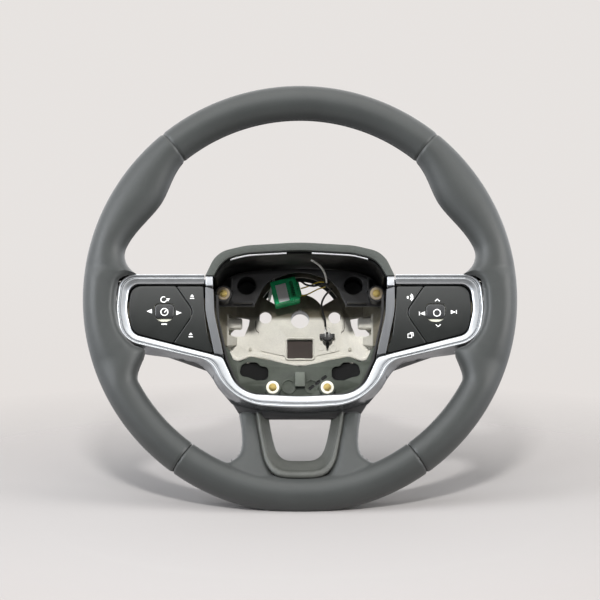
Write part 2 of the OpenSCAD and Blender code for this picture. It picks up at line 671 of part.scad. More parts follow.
// Rear cover: a moulded bowl with a trough behind each switch pack
leg_gap_from = 37.2;
leg_gap_to = 53;
cover_front = back_y + 0.3;
cover_t = 2.4;
cover_rear = -9;
cover_mouth = [
    [-80, 17], [-70, 35.6], [-46, 42.6], [0, 45.4], [46, 42.6], [70, 35.6], [80, 17], [79, -58.5],
    [70, -76], [58, -90], [36, -97.4], [0, -100.6], [-36, -97.4], [-58, -90], [-70, -76], [-79, -58.5],
];
cover_base = [
    [-76.5, 14], [-66.5, 34.6], [-43, 42], [0, 45], [43, 42], [66.5, 34.6], [76.5, 14], [74, -26],
    [66, -46], [54, -60], [30, -69], [0, -72], [-30, -69], [-54, -60], [-66, -46], [-74, -26],
];
function drawn_in(points, by) = [for (p = points) p - by * unit(p - [0, -18])];
function ring_at(points, y) = [for (p = points) [p[0], y, p[1]]];
module cover_bowl(inset, shift) {
    sweep([
        ring_at(drawn_in(cover_mouth, inset), cover_front - shift),
        ring_at(drawn_in(cover_base, inset), cover_rear - inset),
    ]);
}
trough_top = arm_top - 1.2;
function trough_ring(x, top, low, back, inset, shift) = [
    [x, cover_front - shift, low + inset], [x, back - inset, low + inset + 4],
    [x, back - inset, top - inset - 4], [x, cover_front - shift, top - inset],
];
module cover_trough(inset, shift) {
    sweep([
        trough_ring(50, trough_top, -54, -13, inset, shift),
        trough_ring(72, trough_top, -53, -13, inset, shift),
        trough_ring(along_pack(0.29), trough_top, -52.5, rim_y + 50, inset, shift),
        trough_ring(end_x + 0.8 + inset, 16, -36, rim_y + 27, inset, shift),
    ]);
}
module rear_cover() {
    color("#222222") difference() {
        union() {
            difference() {
                union() {
                    cover_bowl(0, 0);
                    both() cover_trough(0, 0);
                }
                cover_bowl(cover_t, 2);
                both() cover_trough(cover_t, 2);
            }
            for (p = screw_seats) rod(4.4, plate_y + plate_t, cover_rear - 1, p[0], p[1]);
        }
        rod(36, plate_y, 0);
        for (p = screw_seats) rod(screw_r + 0.3, plate_y, 0, p[0], p[1]);
        both() slab(cover_front - 1, rim_y + 45.6) translate([leg_gap_from, -106]) square([leg_gap_to - leg_gap_from, 26]);
    }
}

// Insert between the lower legs, with a raised lip and an open middle
trim_top = -98.7;
trim_low = -inner_r + 1.8;
insert_outer = [
    [-leg_gap_from, trim_top, 0], [-27.4, trim_low, 14], [27.4, trim_low, 14], [leg_gap_from, trim_top, 0],
];
insert_lip = [[-35.4, trim_top - 4, 3], [-25.4, trim_low + 2.6, 12], [25.4, trim_low + 2.6, 12], [35.4, trim_top - 4, 3]];
insert_hole = [[-26.8, trim_top - 4, 2], [-17.6, trim_low + 15.6, 9], [17.6, trim_low + 15.6, 9], [26.8, trim_top - 4, 2]];
insert_tilt = 21.6;
module leaning(front, back) {
    translate([0, rim_y + 13, trim_top]) rotate([-insert_tilt, 0, 0]) translate([0, 0, -80])
        translate([-60, front, 0]) cube([120, back - front, 90]);
}
module lower_spoke_trim() {
    color("#4a4c4d") difference() {
        intersection() {
            slab(rim_y - 30, rim_y + 60) polygon(outline(insert_outer));
            leaning(-0.4, 19);
        }
        intersection() {
            slab(rim_y - 31, rim_y + 61) polygon(outline(insert_lip));
            leaning(-2, 7);
        }
        slab(rim_y - 31, rim_y + 61) polygon(outline(insert_hole));
        slab(cover_front - soft_gap, rim_y + 61) translate([-60, -101.2]) square([120, 10]);
    }
}

module connector() {
    color("#1f8f5a") translate([-13, 0, 21.6]) rotate([0, -14, 0]) difference() {
        union() {
            slab(plate_y - 24, plate_y - 1.3) round_box(22.4, 20.6, 1);
            slab(plate_y - 20, plate_y - 8) round_box(3, 12, 0.6, 12, 0);
            slab(plate_y - 25.2, plate_y - 23) round_box(7, 18, 0.6, 6.4, 0);
        }
        slab(plate_y - 26, plate_y - 12) round_box(3, 14, 0.6, 6.4, 0);
    }
}
module connector_label() {
    color("white") translate([-13, 0, 21.6]) rotate([0, -14, 0])
        slab(plate_y - 24.3, plate_y - 24.02) round_box(9.4, 16, 0.4, -3, -1.6);
}
clip_at = [24, -17.4];
module wire_clip() {
    color("#161616") difference() {
        union() {
            rod(4.4, plate_y - 9, plate_y - 1.25, clip_at[0], clip_at[1]);
            slab(plate_y - 7, plate_y - 1.25) round_box(13.4, 3.4, 0.6, clip_at[0], clip_at[1] + 1.6);
            slab(plate_y - 5, plate_y - 1.25) polygon([[21.6, -18], [26.4, -18], [24.8, -27], [23.6, -27]]);
        }
        slab(plate_y - 12, plate_y - 4) for (x = [-1.6, 1.6]) round_box(1.2, 5, 0.2, clip_at[0] + x, clip_at[1] + 2);
    }
}
module horn_contact() {
    color("#c8c8c4") for (x = [-1.6, 1.6])
        slab(plate_y - 9.4, plate_y - 4.1) round_box(0.9, 8.6, 0.2, clip_at[0] + x, clip_at[1] + 4);
}

// Wires, each a tube through its own points
white_route = [[10, -110, 35.2], [13.5, -103, 34.6], [17, -96, 33.4], [20, -88, 31.2], [22, -80, 28.4], [23, -72, 25.6], [23.4, -63, 24.4]];
yellow_upper_route = [[0.8, -40.2, 24], [5, -42, 24.8], [10, -44, 26.4], [15, -48, 27.8], [19, -53, 27.4], [22, -60, 25.6]];
yellow_lower_route = [[1.2, -38, 18], [6, -40, 18.6], [11, -42, 20.6], [16, -46, 22.4], [20.2, -52, 22.6], [22.9, -60, 22.6]];
black_upper_route = [[-2.7, -41.4, 30.8], [1, -44, 29.6], [4.4, -45, 27], [8, -46, 25.6], [13, -47, 25], [18, -52, 25.4], [22, -58, 24.4]];
black_lower_route = [[27.6, -58, 20], [24.4, -50, 18.6], [21, -42, 15.4], [19, -36, 10.6], [20, -32, 4.6], [22, -30, -1.6], [22.3, -29.8, -5], [22.4, -29.4, -8.4]];
wire_ends = 8;
function frame_at(route, i) =
    let (d = unit(route[min(i + 1, len(route) - 1)] - route[max(i - 1, 0)]), side = unit(cross(d, [0.31, 0.17, 0.93])), up = cross(side, d))
    [side, up];
module wire(route, r) {
    sweep([
        for (i = [0:len(route) - 1])
            let (f = frame_at(route, i))
            [for (k = [0:wire_ends - 1]) route[i] + r * (cos(k * 45) * f[0] + sin(k * 45) * f[1])]
    ]);
}
module white_wire() {
    color("whitesmoke") wire(white_route, 0.9);
}
module yellow_wire_upper() {
    color("gold") wire(yellow_upper_route, 0.6);
}
module yellow_wire_lower() {
    color("gold") wire(yellow_lower_route, 0.6);
}
module black_wire_upper() {
    color("#202020") wire(black_upper_route, 0.9);
}
module black_wire_lower() {
    color("#202020") wire(black_lower_route, 0.9);
}

// Switch packs, drawn on the left
screw_r = 1.5;
pack_line = outline(pack_corners);
split_line = outline(split_corners);
plate_h = 2.4;
ear_x = 10;
ear_w = 2;
gimbal_half = [9.3, 7.4];
gimbal_open = [5.6, 4.6];
post_z = 8.2;
post_t = 2.8;
plunger_y = floor_y - 6.5;
dome_y = floor_y - 5.9;
dome_sheet_y = floor_y - 4;
board_y = floor_y - 3.4;
pad_dome_x = button_w / 2 + 6.2;
pad_domes = [[-pad_dome_x, 0], [pad_dome_x, 0], [0, 13.6], [0, -13.6], [0, 0]];
keys_domes = [[-4.6, 13.4], [-4.6, -19]];
key_ear = [1.6, 2.4];

module pad_shape(inset = 0) {
    offset(delta = -inset) intersection() {
        polygon(pack_line);
        polygon(split_line);
    }
}
module keys_shape(inset = 0) {
    offset(delta = -inset) difference() {
        polygon(pack_line);
        offset(delta = split_gap) polygon(split_line);
    }
}
module left_housing_solid() {
    difference() {
        union() {
            difference() {
                slab(housing_y, floor_y) offset(delta = -0.6) polygon(pack_line);
                slab(housing_y - 1, floor_y - wall) offset(delta = -0.6 - 1.5) polygon(pack_line);
            }
            for (s = [-1, 1]) slab(axle_y - 2.4, floor_y - 1)
                round_box(6, post_t, 0.2, -pad_x, pad_z + s * (post_z + post_t / 2));
            for (s = [-1, 1]) slab(axle_y - 2.4, floor_y - 1)
                round_box(key_ear[1], 6, 0.2, -keys_x + s * (key_ear[0] + 0.3 + key_ear[1] / 2), keys_z);
        }
        translate([-pad_x, axle_y, pad_z - post_z - post_t - 1]) cylinder(r = stub_r + fit, h = 2 * (post_z + post_t + 1));
        translate([-keys_x - 5, axle_y, keys_z]) rotate([0, 90, 0]) cylinder(r = stub_r + fit, h = 10);
        for (b = arm_bosses) rod(screw_r - 0.3, floor_y - 5, floor_y + 1, -b[0], b[1]);
    }
}
module left_switch_housing() {
    color("#262626") left_housing_solid();
}
module right_switch_housing() {
    color("#262626") on_right() left_housing_solid();
}
module pack_sheet(front, back) {
    slab(front, back) difference() {
        offset(delta = -2.6) polygon(pack_line);
        for (s = [-1, 1]) round_box(7, post_t + 1, 0.2, -pad_x, pad_z + s * (post_z + post_t / 2));
        for (s = [-1, 1]) round_box(key_ear[1] + 1, 7, 0.2, -keys_x + s * (key_ear[0] + 0.3 + key_ear[1] / 2), keys_z);
    }
}
module board_solid() {
    difference() {
        pack_sheet(board_y, floor_y - wall);
        for (b = arm_bosses) rod(screw_r + 0.4, board_y - 1, floor_y, -b[0], b[1]);
    }
}
module left_switch_board() {
    color("#2e6b45") board_solid();
}
module right_switch_board() {
    color("#2e6b45") on_right() board_solid();
}
module mat_solid() {
    pack_sheet(dome_sheet_y, board_y);
    for (p = pad_domes) rod(2.4, dome_y, dome_sheet_y + 0.2, -pad_x + p[0], pad_z + p[1]);
    for (p = keys_domes) rod(2.4, dome_y, dome_sheet_y + 0.2, -keys_x + p[0], keys_z + p[1]);
}
module left_dome_mat() {
    color("#c9c7bd") mat_solid();
}
module right_dome_mat() {
    color("#c9c7bd") on_right() mat_solid();
}
module gimbal_solid() {
    difference() {
        slab(axle_y - 1.5, axle_y + 1.5) round_box(2 * gimbal_half[0], 2 * gimbal_half[1], 1, -pad_x, pad_z);
        slab(axle_y - 3, axle_y + 3) round_box(2 * gimbal_open[0], 2 * gimbal_open[1], 1, -pad_x, pad_z);
    }
    for (s = [-1, 1]) {
        translate([-pad_x, axle_y, pad_z + s * (gimbal_half[1] + 1.5)]) cylinder(r = stub_r, h = 4, center = true);
        translate([-pad_x + s * (gimbal_half[0] + 1), axle_y, pad_z]) rotate([0, 90, 0]) cylinder(r = stub_r, h = 3.6, center = true);
    }
}
module left_gimbal() {
    color("#4a4a4a") gimbal_solid();
}
module right_gimbal() {
    color("#4a4a4a") on_right() gimbal_solid();
}
module button_shape(grow) {
    round_box(button_w + 2 * grow, button_h + 2 * grow, 3.4 + grow, -pad_x, pad_z);
}
module pad_solid() {
    difference() {
        union() {
            slab(pad_y, pad_y + 0.6) pad_shape(0.7);
            slab(pad_y + 0.6, pad_y + plate_h) pad_shape();
            slab(pad_y + plate_h, pad_y + plate_h + 3.6) difference() {
                pad_shape(3.2);
                pad_shape(4.4);
            }
            for (s = [-1, 1]) slab(pad_y + 1, axle_y + 2.4)
                round_box(ear_w, 6, 0.2, -pad_x + s * (ear_x + ear_w / 2), pad_z);
            for (p = pad_domes) if (norm(p) > 1) rod(1.4, pad_y + 1, plunger_y, -pad_x + p[0], pad_z + p[1]);
        }
        slab(pad_y - 1, pad_y + plate_h + 1) button_shape(0.4);
        translate([-pad_x, axle_y, pad_z]) rotate([0, 90, 0])
            cylinder(r = stub_r + fit, h = 2 * (ear_x + ear_w) + 1, center = true);
    }
}
module left_pad() {
    color("#353736") pad_solid();
}
module right_pad() {
    color("#353736") on_right() pad_solid();
}
button_travel = 1;
module button_solid() {
    slab(pad_y + 0.2, pad_y + plate_h + 0.3) button_shape(0);
    slab(pad_y + plate_h + 0.3, pad_y + plate_h + 1.2) button_shape(0.8);
    slab(pad_y + plate_h + 1, dome_y - button_travel - 0.3) round_box(7.6, 6, 1, -pad_x, pad_z);
}
module left_button() {
    color("#3a3c3b") button_solid();
}
module right_button() {
    color("#3a3c3b") on_right() button_solid();
}
module keys_solid() {
    slab(pad_y, pad_y + 0.6) keys_shape(0.7);
    slab(pad_y + 0.6, pad_y + plate_h) keys_shape();
    slab(pad_y + 1, axle_y + 2.4) round_box(2 * key_ear[0] - 0.2, 5, 0.2, -keys_x, keys_z);
    translate([-keys_x, axle_y, keys_z]) rotate([0, 90, 0]) cylinder(r = stub_r, h = 2 * (key_ear[0] + key_ear[1]), center = true);
    for (p = keys_domes) rod(1.4, pad_y + 1, plunger_y, -keys_x + p[0], keys_z + p[1]);
}
module left_keys() {
    color("#353736") keys_solid();
}
module right_keys() {
    color("#353736") on_right() keys_solid();
}

module screw(x, z, head_front, length, head_r = 3.2) {
    rod(screw_r, head_front - length, head_front + 0.5, x, z);
    difference() {
        rod(head_r, head_front, head_front + 2, x, z);
        rod(1.4, head_front + 1, head_front + 3, x, z, $fn = 6);
    }
}
module pack_screws() {
    color("#77797c") both() for (b = arm_bosses)
        rod(screw_r - 0.3, floor_y - 1.6, floor_y + (b[0] > pad_x ? 11 : 18), b[0], b[1]);
}
module cover_screws() {
    color("#77797c") for (p = screw_seats) screw(p[0], p[1], cover_rear, 13);
}

armature();
hub_bush();
rim_foam();
leather_top();
leather_left();
leather_right();
leather_bottom();
bezel();
left_trim_cap();
right_trim_cap();
left_side_trim();
right_side_trim();
upper_shroud();
shroud_liner();
left_foam_strip();
right_foam_strip();
bag_carrier();
lower_carrier();
rear_cover();
lower_spoke_trim();
bag_studs();
stud_bushes();
connector();
connector_label();
wire_clip();
horn_contact();
white_wire();
yellow_wire_upper();
yellow_wire_lower();
black_wire_upper();
black_wire_lower();
left_switch_housing();
right_switch_housing();
left_switch_board();
right_switch_board();
left_dome_mat();
right_dome_mat();
left_gimbal();
right_gimbal();
left_pad();
right_pad();
left_button();
right_button();
left_keys();
right_keys();
pack_screws();
cover_screws();
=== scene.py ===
# Steering wheel, open at the hub: looks of every part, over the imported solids
import bpy
from math import acos, atan2, cos, degrees, exp, pi, radians, sin, sqrt, tan
from mathutils import Matrix, Vector


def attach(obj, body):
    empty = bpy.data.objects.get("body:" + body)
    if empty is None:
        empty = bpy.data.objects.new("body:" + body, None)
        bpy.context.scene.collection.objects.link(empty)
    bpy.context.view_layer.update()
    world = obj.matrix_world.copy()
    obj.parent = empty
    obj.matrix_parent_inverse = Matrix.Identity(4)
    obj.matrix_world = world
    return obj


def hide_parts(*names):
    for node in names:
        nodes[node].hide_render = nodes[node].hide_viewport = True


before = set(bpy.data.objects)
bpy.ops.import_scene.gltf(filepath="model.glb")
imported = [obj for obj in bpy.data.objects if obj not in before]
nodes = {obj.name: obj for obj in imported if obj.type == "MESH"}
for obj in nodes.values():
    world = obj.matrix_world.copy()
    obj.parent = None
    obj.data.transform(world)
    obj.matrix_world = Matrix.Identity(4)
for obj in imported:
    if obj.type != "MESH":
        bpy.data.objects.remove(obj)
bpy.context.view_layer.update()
mm = 0.001

# Levels along the steering axis in mm, as in the part
plateY = -20
rimY = -126
crestY = -130
padY = -128.5
backY = -112
lowerFloorY = -90

# Camera, at the photograph's angle
print("camera")
view = {"distance": 2.6, "below": 10.8, "aim": (0, -0.126, -0.00255), "lens": 183.14}
viewAngle = radians(view["below"])
eye = Vector((0, rimY * mm, 0)) + view["distance"] * Vector((0, -cos(viewAngle), -sin(viewAngle)))
bpy.ops.object.camera_add(location=eye)
camera = bpy.context.object
camera.rotation_euler = (Vector(view["aim"]) - eye).to_track_quat("-Z", "Y").to_euler()
camera.data.lens = view["lens"]
camera.data.sensor_width = 36
camera.data.clip_start = 0.05
bpy.context.scene.camera = camera


# Helpers for selecting and finishing a piece
def leaveAll():
    for thing in list(bpy.context.selected_objects):
        thing.select_set(False)


def take(piece):
    leaveAll()
    piece.select_set(True)
    bpy.context.view_layer.objects.active = piece


def editStart(piece, kind="FACE"):
    take(piece)
    bpy.ops.object.mode_set(mode="EDIT")
    bpy.ops.mesh.select_mode(type=kind)


def editEnd():
    bpy.ops.object.mode_set(mode="OBJECT")


def selectAll():
    bpy.ops.mesh.select_all(action="SELECT")


def faceOut():
    selectAll()
    bpy.ops.mesh.normals_make_consistent(inside=False)


def addModifier(piece, kind, **values):
    take(piece)
    bpy.ops.object.modifier_add(type=kind)
    modifier = piece.modifiers[-1]
    for key, value in values.items():
        setattr(modifier, key, value)
    bpy.ops.object.modifier_apply(modifier=modifier.name)


def smooth(piece, angle=35):
    take(piece)
    bpy.ops.object.shade_smooth_by_angle(angle=radians(angle))


def outwards(piece):
    editStart(piece)
    selectAll()
    bpy.ops.mesh.remove_doubles(threshold=0.000004)
    bpy.ops.mesh.normals_make_consistent(inside=False)
    editEnd()


def joined(name, pieces):
    leaveAll()
    for piece in pieces:
        piece.select_set(True)
    bpy.context.view_layer.objects.active = pieces[0]
    if len(pieces) > 1:
        bpy.ops.object.join()
    piece = bpy.context.view_layer.objects.active
    piece.name = name
    piece.data.name = name
    take(piece)
    bpy.ops.object.transform_apply(location=True, rotation=True, scale=True)
    return piece


def finish(piece, name, material, body="wheel", replaced=()):
    piece.name = name
    piece.data.name = name
    take(piece)
    bpy.ops.object.transform_apply(location=True, rotation=True, scale=True)
    piece.data.materials.clear()
    piece.data.materials.append(material)
    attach(piece, body)
    if replaced:
        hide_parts(*replaced)
    return piece


def placed(mesh, points):
    mesh.vertices.foreach_set("co", [value * mm for point in points for value in point])
    mesh.update()


# A sheet bent over rings of points in mm; each ring has the same number of points
def lofted(rings, roundRing=False, roundLoop=False, caps=False):
    rows = list(rings) + ([rings[0]] if roundLoop else [])
    rows = [list(row) + ([row[0]] if roundRing else []) for row in rows]
    leaveAll()
    bpy.ops.mesh.primitive_grid_add(x_subdivisions=len(rows[0]) - 1, y_subdivisions=len(rows) - 1, size=1)
    piece = bpy.context.object
    placed(piece.data, [point for row in rows for point in row])
    editStart(piece, "EDGE")
    selectAll()
    bpy.ops.mesh.remove_doubles(threshold=0.000002)
    if caps:
        bpy.ops.mesh.select_all(action="DESELECT")
        bpy.ops.mesh.select_non_manifold()
        bpy.ops.mesh.edge_face_add()
    faceOut()
    editEnd()
    return piece


# A flat outline, points (x, z) in mm, raised between two levels along the axis
def raised(points, front, back):
    leaveAll()
    bpy.ops.mesh.primitive_circle_add(vertices=len(points), radius=1, fill_type="NGON")
    piece = bpy.context.object
    placed(piece.data, [(x, back, z) for x, z in points])
    editStart(piece)
    selectAll()
    bpy.ops.mesh.extrude_region_move(TRANSFORM_OT_translate={"value": (0, (front - back) * mm, 0)})
    faceOut()
    editEnd()
    return piece


def cut(piece, cutter, operation="DIFFERENCE"):
    addModifier(piece, "BOOLEAN", operation=operation, solver="EXACT", object=cutter)
    bpy.data.objects.remove(cutter, do_unlink=True)
    return piece


# Bevels edges that turn by more than an angle
def softened(piece, width, segments=2, angle=30):
    addModifier(piece, "BEVEL", width=width * mm, segments=segments, limit_method="ANGLE",
                angle_limit=radians(angle), use_clamp_overlap=True, miter_outer="MITER_ARC")
    return piece


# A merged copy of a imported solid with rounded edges, which stands for it
flatAngle = 0.5


def copyOf(nodeName, width=0.3, segments=2):
    source = nodes[nodeName]
    piece = source.copy()
    piece.data = source.data.copy()
    bpy.context.scene.collection.objects.link(piece)
    piece.parent = None
    piece.matrix_world = Matrix.Identity(4)
    piece.modifiers.clear()
    for key in list(piece.keys()):
        del piece[key]
    editStart(piece)
    selectAll()
    bpy.ops.mesh.remove_doubles(threshold=0.000003)
    bpy.ops.mesh.dissolve_limited(angle_limit=radians(flatAngle))
    editEnd()
    if width:
        softened(piece, width, segments)
    smooth(piece)
    return piece


def clamp(value):
    return min(1.0, max(0.0, value))


def ease(value):
    value = clamp(value)
    return value * value * (3 - 2 * value)


def mixed(a, b, share):
    return a + (b - a) * share


# Rounds the corners of a path given as (x, z, radius)
def roundCorner(a, b, c, steps):
    here = Vector(b[:2])
    u = (Vector(a[:2]) - here).normalized()
    v = (Vector(c[:2]) - here).normalized()
    half = acos(max(-1, min(1, u.dot(v)))) / 2
    centre = here + (u + v).normalized() * b[2] / sin(half)
    reach = b[2] / tan(half)
    start = here + u * reach - centre
    end = here + v * reach - centre
    first = atan2(start.y, start.x)
    swing = atan2(end.y, end.x) - first
    swing += -2 * pi if swing > pi else 2 * pi if swing < -pi else 0
    return [tuple(centre + b[2] * Vector((cos(first + swing * i / steps), sin(first + swing * i / steps))))
            for i in range(steps + 1)]


def rounded(points, steps=8, openEnds=False):
    line = []
    last = len(points) - 1
    for i, point in enumerate(points):
        if point[2] == 0 or (openEnds and i in (0, last)):
            line.append((point[0], point[1]))
        else:
            line += roundCorner(points[i - 1], point, points[(i + 1) % len(points)], steps)
    return line


def flipped(points):
    return [(-point[0],) + tuple(point[1:]) for point in reversed(points)]


def boxLine(width, height, radius, x=0, z=0, steps=6):
    w, h = width / 2, height / 2
    line = rounded([(-w, -h, radius), (w, -h, radius), (w, h, radius), (-w, h, radius)], steps)
    return [(x + px, z + pz) for px, pz in line]


# Shader groups
print("materials")


def newGroup(name, inputs, outputs):
    group = bpy.data.node_groups.new(name, "ShaderNodeTree")
    for label, kind, value in inputs:
        socket = group.interface.new_socket(name=label, in_out="INPUT", socket_type=kind)
        if value is not None:
            socket.default_value = value
    for label, kind in outputs:
        group.interface.new_socket(name=label, in_out="OUTPUT", socket_type=kind)
    return group, group.nodes.new("NodeGroupInput"), group.nodes.new("NodeGroupOutput")


def node(tree, kind, **values):
    made = tree.nodes.new(kind)
    for key, value in values.items():
        if hasattr(made, key):
            setattr(made, key, value)
        else:
            made.inputs[key.replace("_", " ")].default_value = value
    return made


def math(tree, operation, a, b=None, clampIt=False):
    made = tree.nodes.new("ShaderNodeMath")
    made.operation = operation
    made.use_clamp = clampIt
    for socket, value in zip(made.inputs, (a, b)):
        if isinstance(value, (int, float)):
            socket.default_value = value
        elif value is not None:
            tree.links.new(value, socket)
    return made.outputs[0]


def ramp(tree, source, stops):
    made = tree.nodes.new("ShaderNodeValToRGB")
    elements = made.color_ramp.elements
    while len(elements) < len(stops):
        elements.new(0.5)
    for element, (place, colour) in zip(elements, stops):
        element.position = place
        element.color = (*colour, 1) if isinstance(colour, tuple) else (colour, colour, colour, 1)
    tree.links.new(source, made.inputs[0])
    return made.outputs[0]


def mixColour(tree, share, a, b):
    made = tree.nodes.new("ShaderNodeMix")
    made.data_type = "RGBA"
    for socket, value in ((made.inputs[0], share), (made.inputs[6], a), (made.inputs[7], b)):
        if isinstance(value, (int, float)):
            socket.default_value = value
        elif isinstance(value, tuple):
            socket.default_value = (*value[:3], 1)
        else:
            tree.links.new(value, socket)
    return made.outputs[2]


def noise(tree, vector, scale, detail=3, rough=0.5):
    made = node(tree, "ShaderNodeTexNoise", Scale=scale, Detail=detail, Roughness=rough)
    tree.links.new(vector, made.inputs["Vector"])
    return made.outputs["Fac"]


# Fine cells with soft ridges, as on hide and on grained plastic
def grainGroup():
    group, start, end = newGroup("grain", [
        ("Vector", "NodeSocketVector", None), ("Size", "NodeSocketFloat", 900.0),
        ("Uneven", "NodeSocketFloat", 0.5)],
        [("Height", "NodeSocketFloat"), ("Pores", "NodeSocketFloat")])
    cells = node(group, "ShaderNodeTexVoronoi", feature="DISTANCE_TO_EDGE")
    group.links.new(start.outputs["Vector"], cells.inputs["Vector"])
    group.links.new(start.outputs["Size"], cells.inputs["Scale"])
    cloud = node(group, "ShaderNodeTexNoise", Detail=4.0)
    group.links.new(start.outputs["Vector"], cloud.inputs["Vector"])
    group.links.new(math(group, "MULTIPLY", start.outputs["Size"], 0.4), cloud.inputs["Scale"])
    edge = math(group, "MULTIPLY", cells.outputs["Distance"], 3.0, True)
    uneven = math(group, "MULTIPLY", cloud.outputs["Fac"], start.outputs["Uneven"])
    group.links.new(math(group, "ADD", edge, uneven), end.inputs["Height"])
    group.links.new(math(group, "SUBTRACT", 1.0, edge, True), end.inputs["Pores"])
    return group


# Light wear and dust: paler and rougher in spotty patches and on worn edges
def wearGroup():
    group, start, end = newGroup("wear", [
        ("Vector", "NodeSocketVector", None), ("Scale", "NodeSocketFloat", 40.0),
        ("Amount", "NodeSocketFloat", 0.3)],
        [("Mask", "NodeSocketFloat"), ("Cloud", "NodeSocketFloat")])
    broad = node(group, "ShaderNodeTexNoise", Detail=5.0, Roughness=0.6)
    fine = node(group, "ShaderNodeTexNoise", Detail=2.0, Roughness=0.7)
    for made, factor in ((broad, 1.0), (fine, 9.0)):
        group.links.new(start.outputs["Vector"], made.inputs["Vector"])
        group.links.new(math(group, "MULTIPLY", start.outputs["Scale"], factor), made.inputs["Scale"])
    geometry = node(group, "ShaderNodeNewGeometry")
    worn = math(group, "MULTIPLY", math(group, "SUBTRACT", geometry.outputs["Pointiness"], 0.5), 5.0, True)
    patch = math(group, "MULTIPLY", math(group, "SUBTRACT", broad.outputs["Fac"], 0.45), 3.0, True)
    dots = math(group, "MULTIPLY", math(group, "SUBTRACT", fine.outputs["Fac"], 0.55), 4.0, True)
    both = math(group, "ADD", math(group, "MULTIPLY", patch, dots), worn, True)
    group.links.new(math(group, "MULTIPLY", both, start.outputs["Amount"]), end.inputs["Mask"])
    group.links.new(broad.outputs["Fac"], end.inputs["Cloud"])
    return group


grain = grainGroup()
wear = wearGroup()


def useGroup(tree, group, vector, **values):
    made = tree.nodes.new("ShaderNodeGroup")
    made.node_tree = group
    tree.links.new(vector, made.inputs["Vector"])
    for key, value in values.items():
        made.inputs[key].default_value = value
    return made


surface = {"cloudLow": 0.35, "cloudHigh": 0.65, "poreShade": 0.35, "wornGain": 1.7, "wornLift": 0.03,
           "wornRough": 0.2, "sheenRough": 0.45}


# One finish: colour that varies a little, worn spots, grain in the bump and the roughness
def makeMaterial(name, colour, rough=0.5, metal=0.0, grainSize=900.0, bump=0.12, depth=0.0003, variation=0.12,
                 pores=0.15, wearAmount=0.25, wearScale=40.0, roughSpread=0.12, specular=0.5, sheen=0.0,
                 coat=0.0, coatRough=0.2, stretch=(1, 1, 1)):
    material = bpy.data.materials.new(name)
    material.use_nodes = True
    tree = material.node_tree
    shader = tree.nodes["Principled BSDF"]
    place = node(tree, "ShaderNodeTexCoord").outputs["Object"]
    if stretch != (1, 1, 1):
        mapping = node(tree, "ShaderNodeMapping")
        mapping.inputs["Scale"].default_value = stretch
        tree.links.new(place, mapping.inputs["Vector"])
        place = mapping.outputs["Vector"]
    grainNode = useGroup(tree, grain, place, Size=grainSize)
    wearNode = useGroup(tree, wear, place, Scale=wearScale, Amount=wearAmount)
    dark = tuple(value * (1 - variation) for value in colour)
    light = tuple(min(1, value * (1 + variation)) for value in colour)
    tone = ramp(tree, wearNode.outputs["Cloud"], [(surface["cloudLow"], dark), (surface["cloudHigh"], light)])
    tone = mixColour(tree, math(tree, "MULTIPLY", grainNode.outputs["Pores"], pores), tone,
                     tuple(value * surface["poreShade"] for value in colour))
    worn = tuple(min(1, value * surface["wornGain"] + surface["wornLift"]) for value in colour)
    tone = mixColour(tree, wearNode.outputs["Mask"], tone, worn)
    tree.links.new(tone, shader.inputs["Base Color"])
    spread = math(tree, "MULTIPLY", math(tree, "SUBTRACT", wearNode.outputs["Cloud"], 0.5), roughSpread * 2)
    spread = math(tree, "ADD", spread, math(tree, "MULTIPLY", wearNode.outputs["Mask"], surface["wornRough"]))
    tree.links.new(math(tree, "ADD", spread, rough, True), shader.inputs["Roughness"])
    shader.inputs["Metallic"].default_value = metal
    shader.inputs["Specular IOR Level"].default_value = specular
    shader.inputs["Sheen Weight"].default_value = sheen
    shader.inputs["Sheen Roughness"].default_value = surface["sheenRough"]
    shader.inputs["Coat Weight"].default_value = coat
    shader.inputs["Coat Roughness"].default_value = coatRough
    relief = node(tree, "ShaderNodeBump", Strength=bump, Distance=depth)
    tree.links.new(grainNode.outputs["Height"], relief.inputs["Height"])
    tree.links.new(relief.outputs["Normal"], shader.inputs["Normal"])
    return material


leather = makeMaterial("rimLeather", (0.032, 0.035, 0.034), rough=0.46, grainSize=1100, bump=0.16,
                       depth=0.00025, variation=0.08, pores=0.25, wearAmount=0.06, wearScale=25,
                       roughSpread=0.05, sheen=0.12, specular=0.45)
thread = makeMaterial("stitchThread", (0.07, 0.073, 0.074), rough=0.6, grainSize=2600, bump=0.5, depth=0.0002,
                      stretch=(1, 1, 2.5), wearAmount=0.1, sheen=0.3)
satin = makeMaterial("satinTrim", (0.46, 0.475, 0.49), rough=0.23, metal=0.86, grainSize=3200, bump=0.03,
                     depth=0.00004, variation=0.04, pores=0.0, wearAmount=0.08, wearScale=70,
                     roughSpread=0.06)
capSatin = makeMaterial("capTrim", (0.5, 0.515, 0.54), rough=0.4, metal=0.6, grainSize=2600, bump=0.05,
                        depth=0.00005, variation=0.03, pores=0.0, wearAmount=0.05)
greyTrim = makeMaterial("greyTrim", (0.1, 0.104, 0.11), rough=0.42, grainSize=2200, bump=0.08, depth=0.0001,
                        variation=0.06, wearAmount=0.15)
insertPlastic = makeMaterial("insertPlastic", (0.058, 0.061, 0.055), rough=0.34, grainSize=1300, bump=0.35,
                             depth=0.0003, variation=0.08, pores=0.3, wearAmount=0.12, wearScale=60)
grained = makeMaterial("grainedPlastic", (0.05, 0.056, 0.05), rough=0.55, grainSize=1300, bump=0.42,
                       depth=0.0003, variation=0.08, pores=0.35, wearAmount=0.12, wearScale=60)
blackGloss = makeMaterial("blackGloss", (0.006, 0.006, 0.006), rough=0.13, grainSize=400, bump=0.02,
                          depth=0.0002, variation=0.1, pores=0.0, wearAmount=0.05, coat=0.5, coatRough=0.06)
